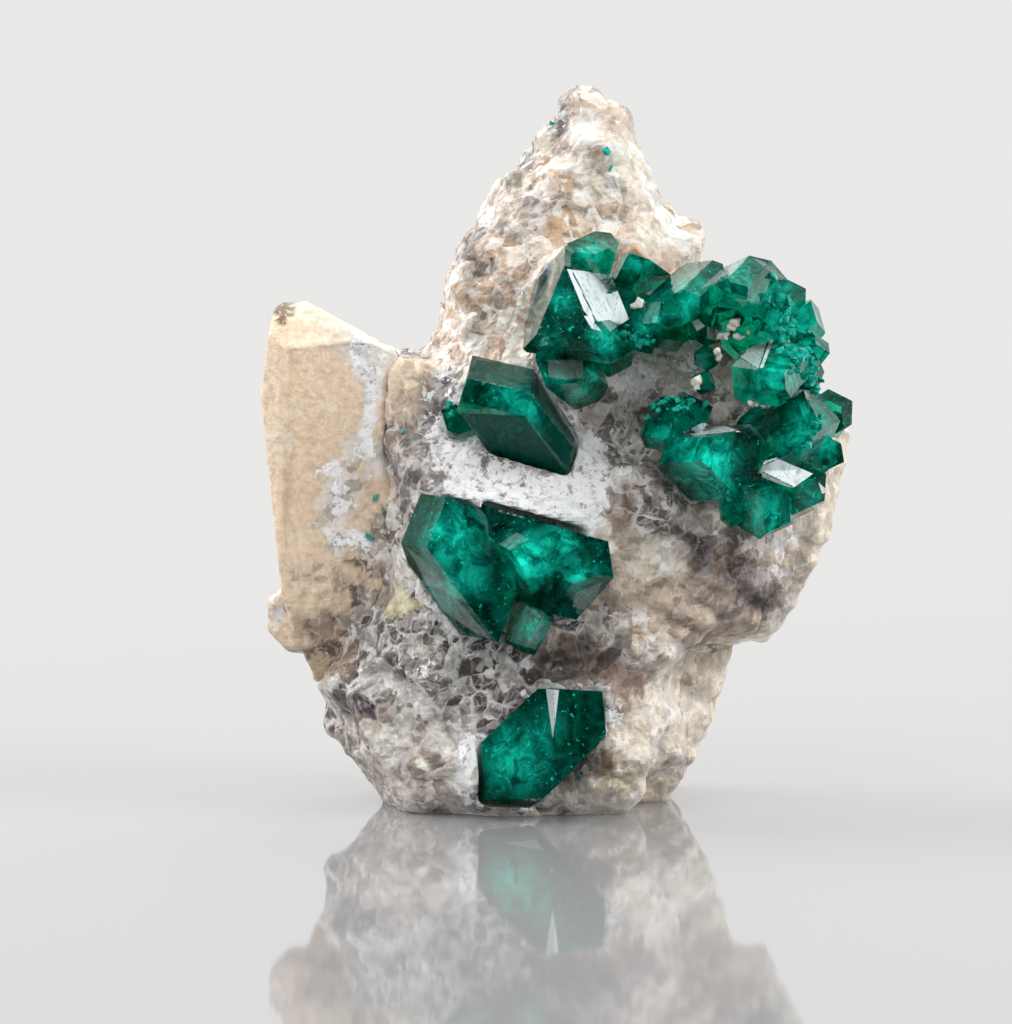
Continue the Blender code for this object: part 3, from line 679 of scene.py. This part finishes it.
# Growth terraces: how many faces have them, depth, length and width, levels and margin.
TERRACED = 0.4
TERRACE_DEPTH = (0.02, 0.06)
TERRACE_SIZE = (8.0, 2.2)
TERRACE_LEVELS = 4.0
TERRACE_MARGIN = 0.9
# How milky the clearest places of a crystal are.
CLEAREST = 0.05


def grid_inside(rim, step):
    """Points of an even grid of triangles that lie well inside an outline."""
    low = rim.min(0)
    high = rim.max(0)
    found = []
    after = np.roll(rim, -1, 0)
    row_step = step * GRID_ROW
    rows = int((high[1] - low[1]) / row_step) + 1
    columns = int((high[0] - low[0]) / step) + 1
    for row in range(rows):
        for column in range(columns):
            x = low[0] + step * (column + 0.5 * (row % 2))
            y = low[1] + row_step * row
            crossed = (rim[:, 1] > y) != (after[:, 1] > y)
            with np.errstate(divide="ignore", invalid="ignore"):
                at = (y - rim[:, 1]) * (after[:, 0] - rim[:, 0]) / (after[:, 1] - rim[:, 1])
            at += rim[:, 0]
            inside = np.count_nonzero(crossed & (x < at)) % 2
            if inside and rim_distance(rim, (x, y)) > GRID_MARGIN * step:
                found.append((x, y))
    return found


def filled(ring, rim, step, nearness):
    """Triangles over an outline: the points of its ring and an even grid inside its rim."""
    points = ring + [Vector(p) for p in grid_inside(rim, step)]
    edges = [(k, (k + 1) % len(ring)) for k in range(len(ring))]
    return delaunay_2d_cdt(points, edges, [], 1, nearness)


def rim_distance(rim, place):
    """Distance from a point to a closed outline."""
    side = np.roll(rim, -1, 0) - rim
    point = np.array((place[0], place[1]))
    share = np.einsum("ij,ij->i", point - rim, side) / np.maximum(1e-18, (side ** 2).sum(1))
    foot = rim + side * np.clip(share, 0, 1)[:, None]
    return float(np.sqrt(((foot - point) ** 2).sum(1)).min())


def bmesh_of(mesh):
    bm = bmesh.new()
    bm.from_mesh(mesh)
    return bm


def flat_faces(node):
    """A CAD node as a bmesh with one face for each flat side."""
    bm = bmesh_of(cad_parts[node].data)
    bmesh.ops.remove_doubles(bm, verts=bm.verts, dist=1e-7)
    bmesh.ops.dissolve_limit(bm, angle_limit=math.radians(0.6), verts=bm.verts, edges=bm.edges)
    bm.faces.ensure_lookup_table()
    return bm


def search_tree(bm):
    tree = BVHTree.FromBMesh(bm)
    bm.free()
    return tree


def split_edges(bm, step, places):
    """Cut every edge in pieces: adds the points to places, and gives their numbers."""
    known = {}
    along = {}
    for edge in bm.edges:
        a, b = edge.verts
        pieces = max(1, math.ceil(edge.calc_length() / step))
        numbers = []
        for k in range(pieces + 1):
            key = {0: a.index, pieces: b.index}.get(k, (edge.index, k))
            if key not in known:
                known[key] = len(places)
                places.append(a.co.lerp(b.co, k / pieces))
            numbers.append(known[key])
        along[edge.index] = (a.index, numbers)
    return along


def crystal_piece(node, surface, rng):
    """A crystal node with small triangles, growth terraces and milky zones."""
    bm = flat_faces(node)
    step = CRYSTAL_STEP * MM
    places = []
    along = split_edges(bm, step, places)
    triangles = []
    for face in bm.faces:
        origin = face.loops[0].vert.co
        across = face.calc_tangent_edge().normalized()
        up = face.normal.cross(across)
        ring = []
        for loop in face.loops:
            start, numbers = along[loop.edge.index]
            ordered = numbers if start == loop.vert.index else numbers[::-1]
            ring.extend(ordered[:-1])
        offsets = [places[number] - origin for number in ring]
        flat = [Vector((offset.dot(across), offset.dot(up))) for offset in offsets]
        rim = np.array([tuple(p) for p in flat])
        out = filled(flat, rim, step, 1e-9)
        terrace = terraces(rng)
        numbers = []
        for place, origins in zip(out[0], out[3]):
            known = [k for k in origins if k < len(ring)]
            if known:
                numbers.append(ring[known[0]])
                continue
            fade = min(1.0, rim_distance(rim, place) / (TERRACE_MARGIN * MM))
            rise = face.normal * (terrace(place) * fade * MM)
            places.append(origin + across * place.x + up * place.y + rise)
            numbers.append(len(places) - 1)
        for corner in out[2]:
            a, b, c = (numbers[k] for k in corner)
            if len({a, b, c}) == 3:
                triangles.append((a, b, c))
    bm.free()
    made = new_object(node + "_looks", places, triangles, surface)
    add_attribute(made.data, "cloud", clouds(vertex_places(made.data)))
    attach(made, "root")
    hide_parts(node)


def terraces(rng):
    """A function that gives a face's shallow growth steps in millimetres."""
    turn = rng.uniform(0, math.tau)
    shift = rng.uniform(0, 90)
    depth = rng.uniform(*TERRACE_DEPTH) if rng.random() < TERRACED else 0.0
    cosine = math.cos(turn)
    sine = math.sin(turn)

    def height(place):
        u = (place.x * cosine + place.y * sine) / MM
        v = (place.y * cosine - place.x * sine) / MM
        long, wide = TERRACE_SIZE
        level = noise.noise(Vector((u / long, v / wide, shift))) * TERRACE_LEVELS
        return math.floor(level) / TERRACE_LEVELS * depth

    return height


def clouds(places):
    """How milky each point of a crystal is."""
    total = np.full(len(places), CLEAREST)
    for across, down, reach, amount in CLOUDS:
        start, way = sight(across, down)
        offset = places * MM - np.array(start)
        way = np.array(way)
        off = offset - (offset @ way)[:, None] * way
        far = np.linalg.norm(off, axis=1) / (reach * PIXEL * MM)
        total = np.maximum(total, amount * np.exp(-1.2 * far ** 2))
    return total


GREEN = [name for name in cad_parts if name.startswith(("crystal", "cluster"))]
GREEN_TREES = [search_tree(flat_faces(name)) for name in GREEN]
STONE_TREES = {row[0]: search_tree(flat_faces(row[0])) for row in STONES}
# By slot: the stones that one has grown together with, the powder round its crystals, and
# how often it is smoothed.
JOINS = {
    "matrix": (STONE_TREES["calcite_blade"], STONE_TREES["calcite_slab"]),
    "blade": (STONE_TREES["matrix"],),
    "slab": (STONE_TREES["matrix"],),
}
SOCKET_POWDER = {"matrix": 1.0, "blade": 0.0, "slab": 0.3}
SMOOTHING = {"matrix": 3, "blade": 1, "slab": 2}
NORMAL_SMOOTHING = 6
# Nothing further than this, in millimetres, is looked for.
FURTHEST = 6.0


def node_distance(places, trees):
    """Distance from each point to the nearest of the given surfaces, in millimetres."""
    best = np.full(len(places), FURTHEST)
    for k, place in enumerate(places):
        point = Vector(place) * MM
        for tree in trees:
            hit = tree.find_nearest(point, best[k] * MM)
            if hit[0] is not None:
                best[k] = min(best[k], hit[3] / MM)
    return best


# Spacing and rise of the stone's big and small lumps, and their middle height.
BIG_LUMPS = (2.9, 0.8)
SMALL_LUMPS = (1.5, 0.3)
LUMP_MIDDLE = 0.55
FINE_RISE = 0.5
# Ridges: rise, size, and a turn of 32 degrees about the y axis, down to the right.
RIDGE_RISE = 1.3
RIDGE_SIZE = (6.0, 4.0, 1.5)
SLANT = np.array([[0.848, 0.0, 0.530], [0.0, 1.0, 0.0], [-0.530, 0.0, 0.848]])
# How far a stone grows towards the next one, and at which distances.
JOIN_RISE = 0.35
JOIN_REACH = (0.5, 1.6)
# Beside a crystal the relief fades to this share, and keeps away from it.
CALM_REACH = (0.3, 1.8)
CALM_SHARE = 0.25
CRYSTAL_ROOM = 0.55
# The flat foot isn't moved, and nothing else goes below the lowest height.
FOOT = 0.25
LOWEST = 0.05
# The blade's front: how deep it is sunk, and where that begins and is complete.
BLADE_SUNK = 0.7
BLADE_RIM_AT = (-26.9, -25.6)
BLADE_CAP_AT = (47.0, 46.0)
BLADE_FOOT_AT = (20.0, 30.0)


def blade_hollow(places, normals):
    """How far the blade's front is sunk inside its left rim and its cap."""
    x = places[:, 0] + 0.25 * wobble(places, 3.0, 41)
    z = places[:, 2] + 0.25 * wobble(places, 3.0, 42)
    inside = smoothstep(*BLADE_RIM_AT, x) * smoothstep(*BLADE_CAP_AT, z + 0.1 * (x + 26.0))
    inside *= smoothstep(*BLADE_FOOT_AT, z)
    return BLADE_SUNK * inside * np.clip(-normals[:, 1], 0, 1) ** 2


def stone_piece(node, surface, slot, rest, rest_weight):
    """A stone node remeshed, covered with lumps and grains, and coloured by its patches."""
    rng = np.random.default_rng(SEED)
    kinds = [patch[0] for patch in PATCHES] + [rest]
    mesh = remeshed(node, STONE_VOXEL)
    places = vertex_places(mesh)
    ends = read(mesh.edges, "vertices", 2, np.int32)
    normals = spread(ends, read(mesh.vertex_normals, "vector", 3), NORMAL_SMOOTHING)
    normals /= np.maximum(1e-9, np.linalg.norm(normals, axis=1))[:, None]
    foot = places[:, 2] < FOOT
    places = np.where(foot[:, None], places, spread(ends, places, SMOOTHING[slot]))
    near = node_distance(places, GREEN_TREES)
    weights = patch_weights(places, rest_weight)

    def blended(field):
        return weights @ np.array([getattr(kind, field) for kind in kinds], float)

    big = Lumps(places, BIG_LUMPS[0], rng)
    small = Lumps(places, SMALL_LUMPS[0], rng)
    height = BIG_LUMPS[1] * blended("lump") * (big.height - LUMP_MIDDLE)
    height += SMALL_LUMPS[1] * blended("lump") * (small.height - LUMP_MIDDLE)
    height += FINE_RISE * blended("fine") * wobble(places, 1.0, 21)
    height += RIDGE_RISE * blended("ridge") * wobble(places @ SLANT, RIDGE_SIZE, 22)
    if node == "calcite_blade":
        height -= blade_hollow(places, normals)
    height += JOIN_RISE * (1.0 - smoothstep(*JOIN_REACH, node_distance(places, JOINS[slot])))
    height *= CALM_SHARE + (1.0 - CALM_SHARE) * smoothstep(*CALM_REACH, near)
    height = np.minimum(height, np.maximum(near - CRYSTAL_ROOM, -0.1))
    moved = places + normals * height[:, None]
    moved[:, 2] = np.where(foot, places[:, 2], np.maximum(moved[:, 2], LOWEST))
    set_places(mesh, moved)

    # Painted shade: places lower than their smoothed surroundings get darker grain colours.
    low = height - spread(ends, height, PAINTED_SHADE_SMOOTHING)
    painted_shade = np.clip(1.0 + PAINTED_SHADE * low, *PAINTED_SHADE_RANGE)[:, None]
    tones = np.array([kind_tones(kind) for kind in kinds])
    chances = patch_weights(big.seeds, rest_weight)
    drawn = np.array([rng.choice(len(kinds), p=row) for row in chances])
    sharp = SHARPNESS * tones[drawn[big.own]]
    sharp += (1.0 - SHARPNESS) * np.einsum("ik,kjl->ijl", weights, tones)
    up = smoothstep(PEAK_FOOT[2], PEAK_FOOT[2] + PEAK_RISE, places[:, 2])
    rough = blended("rough") + 0.1 * wobble(places, 1.2, 31)
    # The dark and light tones below carry the painted shade of the low places.
    for name, values in (
            ("dark", sharp[:, 0] * painted_shade),
            ("light", sharp[:, 1] * painted_shade),
            ("veins", blended("veins")),
            ("fineness", 1.0 - (1.0 - PEAK_FINENESS) * up),
            ("powder", powder_amount(places, near, small, slot, blended)),
            ("rough", np.clip(rough, 0.15, 0.95))):
        add_attribute(mesh, name, values)
    mesh.materials.clear()
    mesh.materials.append(surface)
    made = linked(node + "_looks", mesh)
    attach(made, "root")
    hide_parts(node)


# Painted shade: how much darker the low places are, between which limits, and how wide a place
# counts.
PAINTED_SHADE = 0.85
PAINTED_SHADE_RANGE = (0.45, 1.2)
PAINTED_SHADE_SMOOTHING = 16
# How much of a grain's colour is its own kind's, and not a mean of the kinds there.
SHARPNESS = 0.65
# How far powder reaches from the borders of small lumps and from the crystals.
BORDER_REACH = (0.05, 0.35)
SOCKET_REACH = (0.5, 1.1)
SOCKET_TOUCH = 0.45


def powder_amount(places, near, small, slot, blended):
    """How much white powder lies at each point."""
    edge = 1.0 - smoothstep(*BORDER_REACH, small.border)
    patchy = smoothstep(-0.1, 0.4, wobble(places, 1.9, 3))
    powder = blended("powder") + 0.12 * blended("veins") * edge * patchy
    front = smoothstep(2.0, 0.0, places[:, 1])
    socket = (1.0 - smoothstep(*SOCKET_REACH, near)) * (0.4 + 0.6 * patchy) * front
    powder = np.maximum(powder, 0.9 * socket * SOCKET_POWDER[slot])
    return np.clip(np.maximum(powder, near < SOCKET_TOUCH), 0, 1)


# Veils: crystal volume for each, tries for a crystal, least room, the share of it that a
# veil fills, its largest radius, and its rings and spokes of points.
VEIL_VOLUME = 150.0
VEIL_TRIES = 4000
VEIL_ROOM = 0.7
VEIL_FILLS = 0.9
VEIL_RADIUS = 3.0
VEIL_RINGS = 4
VEIL_SPOKES = 12


def veils(rng):
    """Small curved sheets inside the crystals."""
    vertices = []
    faces = []
    for node, tree in zip(GREEN, GREEN_TREES):
        low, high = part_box(node)
        volume = (high.x - low.x) * (high.y - low.y) * (high.z - low.z) / MM ** 3
        wanted = int(volume / VEIL_VOLUME)
        for _ in range(VEIL_TRIES):
            if not wanted:
                break
            at = Vector([rng.uniform(a, b) for a, b in zip(low, high)])
            room = tree.find_nearest(at)[3] if is_inside(tree, at) else 0.0
            if room >= VEIL_ROOM * MM:
                wanted -= 1
                sheet(vertices, faces, at, min(room * VEIL_FILLS, VEIL_RADIUS * MM), rng)
    joined("veils", veil_surface(), vertices, faces)


def is_inside(tree, point):
    """True where a point is inside a closed surface."""
    inside = False
    at = point.copy()
    aim = Vector((0.31, 0.17, 0.935)).normalized()
    for _ in range(40):
        hit = tree.ray_cast(at, aim)
        if hit[0] is None:
            break
        inside = not inside
        at = hit[0] + aim * 1e-6
    return inside


def sheet(vertices, faces, at, radius, rng):
    """One ragged, bent disc."""
    normal = Vector(rng.normal(0, 1, 3)).normalized()
    across = normal.orthogonal().normalized()
    up = normal.cross(across)
    shift = Vector(rng.uniform(0, 50, 3))
    first = len(vertices) + 1
    vertices.append(at)
    stretch = rng.uniform(0.35, 1.0)
    for ring in range(1, VEIL_RINGS + 1):
        for spoke in range(VEIL_SPOKES):
            angle = math.tau * spoke / VEIL_SPOKES
            x = math.cos(angle)
            y = math.sin(angle)
            reach = radius * ring / VEIL_RINGS
            reach *= 0.7 + 0.3 * noise.noise(shift + Vector((x, y, 0)) * 1.3)
            place = at + across * (x * reach) + up * (y * reach * stretch)
            place += normal * (noise.noise(place / (1.5 * MM) + shift) * 0.35 * radius)
            vertices.append(place)
    for spoke in range(VEIL_SPOKES):
        after = (spoke + 1) % VEIL_SPOKES
        faces.append((first - 1, first + spoke, first + after))
        for ring in range(VEIL_RINGS - 1):
            a = first + ring * VEIL_SPOKES
            b = a + VEIL_SPOKES
            faces.append((a + spoke, b + spoke, b + after, a + after))


def grain(vertices, faces, at, size, rng, stretch=1.0):
    """One small faceted grain: the hull of random points on a ball."""
    bm = bmesh.new()
    turn = Vector(rng.normal(0, 1, 3)).normalized().to_track_quat("Z", "Y")
    for direction in rng.normal(0, 1, (11, 3)):
        point = Vector(direction).normalized() * size
        point.z *= stretch
        bm.verts.new(at + turn @ point)
    bmesh.ops.convex_hull(bm, input=bm.verts)
    start = len(vertices)
    used = {}
    for face in bm.faces:
        corners = []
        for vert in face.verts:
            if vert not in used:
                used[vert] = start + len(used)
                vertices.append(vert.co.copy())
            corners.append(used[vert])
        faces.append(corners)
    bm.free()


def joined(name, surface, vertices, faces):
    """One piece made of many small ones."""
    made = new_object(name, vertices, faces, surface)
    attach(made, "root")


# Rows of small grains: both ends in the photograph's pixels, how many, their size in
# millimetres, and how far they scatter in pixels.
CALCITE_CHIPS = (
    (631, 310, 652, 294, 5, 0.75, 3),
    (728, 330, 736, 320, 3, 0.55, 2),
    (718, 338, 747, 336, 7, 0.50, 3),
    (718, 342, 717, 396, 9, 0.45, 3),
    (632, 357, 694, 378, 26, 0.60, 7),
    (744, 405, 769, 407, 8, 0.40, 2),
    (672, 376, 697, 386, 10, 0.50, 5),
)
GREEN_GRAINS = (
    (773, 294, 810, 370, 60, 0.55, 13),
    (789, 330, 815, 388, 36, 0.50, 10),
    (647, 409, 697, 402, 26, 0.40, 7),
    (622, 330, 653, 344, 18, 0.40, 5),
    (711, 480, 734, 500, 10, 0.35, 5),
    (804, 450, 821, 420, 10, 0.40, 5),
    (446, 402, 450, 412, 3, 0.45, 2),
)
# Single green grains: place in the photograph's pixels, and size.
SPLINTERS = (
    (553, 124, 0.45), (607, 151, 0.60), (610, 168, 0.50), (376, 497, 0.50), (370, 537, 0.60),
    (403, 432, 0.30), (578, 774, 0.50),
)


def surface_trees(names):
    """Search trees of the finished pieces that replace the given nodes."""
    return [search_tree(bmesh_of(bpy.data.objects[name + "_looks"].data)) for name in names]


def front_place(trees, across, down):
    """The foremost point of the given surfaces under a pixel, and its normal."""
    hits = [tree.ray_cast(*sight(across, down)) for tree in trees]
    return min((hit for hit in hits if hit[0] is not None), key=lambda hit: hit[3], default=None)


def scatter(rows, trees, rng, stretch=1.0):
    """Grains along rows, sunk a little into whatever is foremost there."""
    vertices = []
    faces = []
    for across, down, end_across, end_down, count, size, stray in rows:
        for k in range(count):
            share = (k + rng.uniform(0, 1)) / count
            at_across = across + (end_across - across) * share + rng.normal(0, 0.6 * stray)
            at_down = down + (end_down - down) * share + rng.normal(0, 0.6 * stray)
            hit = front_place(trees, at_across, at_down)
            radius = size * rng.uniform(0.55, 1.2) * MM
            if hit:
                grain(vertices, faces, hit[0] + hit[1] * (0.1 * radius), radius, rng, stretch)
    return vertices, faces


# Sheets of painted reflection and shade: how finely they are cut, in pixels, how far they lie
# above the crystal, the longest side that isn't a gap between crystals, and the fewest faces of a
# patch.
PAINTED_SHEET_STEP = 2.2
PAINTED_SHEET_LIFT = 0.03
PAINTED_SHEET_GAP = 2.2
PAINTED_SHEET_LEAST = 16


def painted_sheets(name, rows, surface):
    """Thin sheets of painted reflection and shade that follow the crystals' faces."""
    trees = surface_trees(GREEN)
    vertices = []
    faces = []
    painted_amounts = []
    for corners, pale in rows:
        rim = np.array(corners, float).reshape(-1, 2)
        ring = []
        for place, after in zip(rim, np.roll(rim, -1, 0)):
            pieces = math.ceil(np.linalg.norm(after - place) / PAINTED_SHEET_STEP)
            ring.extend(Vector(place + (after - place) * k / pieces) for k in range(pieces))
        out = filled(ring, rim, PAINTED_SHEET_STEP, 1e-6)
        hits = [front_place(trees, place.x, place.y) for place in out[0]]
        start = len(vertices)
        for hit in hits:
            vertices.append(hit[0] + hit[1] * (PAINTED_SHEET_LIFT * MM) if hit else Vector())
        for corner in out[2]:
            ends = [vertices[start + k] for k in corner]
            side = max((a - b).length for a, b in zip(ends, ends[1:] + ends[:1]))
            if all(hits[k] for k in corner) and side < PAINTED_SHEET_GAP * MM:
                faces.append([start + k for k in corner])
        painted_amounts.extend([pale] * len(hits))
    made = new_object(name, vertices, faces, surface)
    add_attribute(made.data, "pale", np.array(painted_amounts))
    bm = bmesh_of(made.data)
    bmesh.ops.delete(bm, geom=crumbs(bm), context="FACES")
    bmesh.ops.delete(bm, geom=[vert for vert in bm.verts if not vert.link_faces], context="VERTS")
    bmesh.ops.recalc_face_normals(bm, faces=bm.faces)
    bm.to_mesh(made.data)
    bm.free()
    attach(made, "root")


def crumbs(bm):
    """The faces of the patches that have too few of them."""
    small = []
    seen = set()
    for face in bm.faces:
        if face in seen:
            continue
        seen.add(face)
        patch = [face]
        for member in patch:
            for vert in member.verts:
                near = [other for other in vert.link_faces if other not in seen]
                seen.update(near)
                patch.extend(near)
        if len(patch) < PAINTED_SHEET_LEAST:
            small.extend(patch)
    return small


def small_pieces(rng):
    """Calcite chips, fine green crystals and single green grains."""
    stone = surface_trees(STONE_TREES)
    vertices, faces = scatter(CALCITE_CHIPS, stone + GREEN_TREES, rng)
    joined("calcite_chips", chip_surface(), vertices, faces)
    vertices, faces = scatter(GREEN_GRAINS, GREEN_TREES + stone, rng, 1.3)
    for across, down, size in SPLINTERS:
        hit = front_place(stone, across, down)
        if hit:
            grain(vertices, faces, hit[0] + hit[1] * 0.1 * MM, size * MM, rng, 0.35)
    joined("fine_crystals", fine_green(), vertices, faces)


# Where the floor begins to fade out and is gone, in metres.
FLOOR_FADE = (0.16, 0.42)


# Area lights: azimuth (0 in front, 90 at the right) and elevation, distance, width and
# height in metres, power in watts, and whether glossy surfaces mirror it.
LIGHTS = (
    ("back", 168, 36, 1.0, 0.75, 0.90, 5.5, False),
    ("left", -115, 40, 0.8, 0.5, 0.4, 5.0, True),
    ("right", 70, 32, 0.8, 0.4, 0.4, 4.2, False),
    ("front", -28, 46, 0.9, 0.6, 0.5, 3.0, False),
)
LIGHTS_AIM = (0, 0, 0.035)


def floor_surface():
    """Glossy pale floor that fades out away from the specimen."""
    made = Nodes(bpy.data.materials.new("floor"))
    at = made.add("ShaderNodeTexCoord").outputs["Object"]
    away = made.add("ShaderNodeVectorMath", at, operation="LENGTH").outputs["Value"]
    fade = made.add("ShaderNodeMapRange", away, *FLOOR_FADE, 1.0, 0.0,
                    interpolation_type="SMOOTHSTEP").outputs["Result"]
    made.set(Alpha=fade, Base_Color=(0.33, 0.33, 0.335), Roughness=0.04, IOR=1.45)
    return made.owner


def stage():
    """Pale floor, soft studio light and background."""
    half = FLOOR_FADE[1] + 0.02
    corners = [(-half, -half, 0), (half, -half, 0), (half, half, 0), (-half, half, 0)]
    floor = new_object("floor", corners, [(0, 1, 2, 3)], floor_surface())
    floor.visible_glossy = False
    floor.visible_transmission = False
    studio_world()
    for row in LIGHTS:
        softbox(*row)


def studio_world():
    """A pale background; what the crystals mirror is dim in front and bright behind."""
    made = Nodes(bpy.data.worlds.new("studio"), "Background")
    way = made.add("ShaderNodeTexCoord").outputs["Generated"]
    depth = made.add("ShaderNodeSeparateXYZ", way).outputs["Y"]
    strength = made.add("ShaderNodeMapRange", depth, -0.15, 0.55, 0.05, 0.95).outputs[0]
    path = made.add("ShaderNodeLightPath").outputs
    for ray, value in (("Is Diffuse Ray", 0.62), ("Is Camera Ray", 0.84)):
        strength = made.add("ShaderNodeMix", Factor=path[ray], A=strength, B=value).outputs[0]
    made.set(Color=(0.97, 0.965, 0.955), Strength=strength)
    bpy.context.scene.world = made.owner


def aimed(name, data, place, back):
    """A light or a camera that looks away from its back direction."""
    made = linked(name, data)
    made.location = place
    made.rotation_euler = back.to_track_quat("Z", "Y").to_euler()
    return made


def softbox(name, azimuth, elevation, away, width, height, power, mirrored):
    """An area light that faces the specimen."""
    light = bpy.data.lights.new(name, "AREA")
    light.shape = "RECTANGLE"
    light.size = width
    light.size_y = height
    light.energy = power
    turn = math.radians(azimuth)
    rise = math.radians(elevation)
    flat = math.cos(rise)
    back = Vector((math.sin(turn) * flat, -math.cos(turn) * flat, math.sin(rise)))
    made = aimed(name, light, Vector(LIGHTS_AIM) + back * away, back)
    made.visible_camera = False
    made.visible_glossy = mirrored
    made.visible_transmission = False


def camera():
    """The photograph's view: from the front, a little above."""
    data = bpy.data.cameras.new("camera")
    data.lens = CAMERA_LENS
    data.sensor_width = CAMERA_SENSOR
    data.clip_start = 0.01
    place, back, _, _ = view_axes()
    bpy.context.scene.camera = aimed("camera", data, place, back)


rng = np.random.default_rng(SEED)
green = crystal_surface()
for node in GREEN:
    crystal_piece(node, green, rng)
for node, name, veins, feathers, slot, rest, weight in STONES:
    stone_piece(node, stone_surface(name, veins, feathers), slot, rest, weight)
veils(rng)
# Painted reflections: pale sheets for the white glints and grey sheen on crystal faces.
painted_sheets("painted_reflection_sheets", PAINTED_REFLECTIONS, painted_sheet_surface("painted_reflection_look", (0.86, 0.93, 0.95), 0.5))
# Painted shade: dark sheets over crystal faces.
painted_sheets("painted_shade_sheets", PAINTED_SHADE_SHEETS, painted_sheet_surface("painted_shade_sheets", (0.0, 0.085, 0.065), 0.1))
small_pieces(rng)
stage()
camera()
bpy.context.scene.view_settings.view_transform = "Standard"
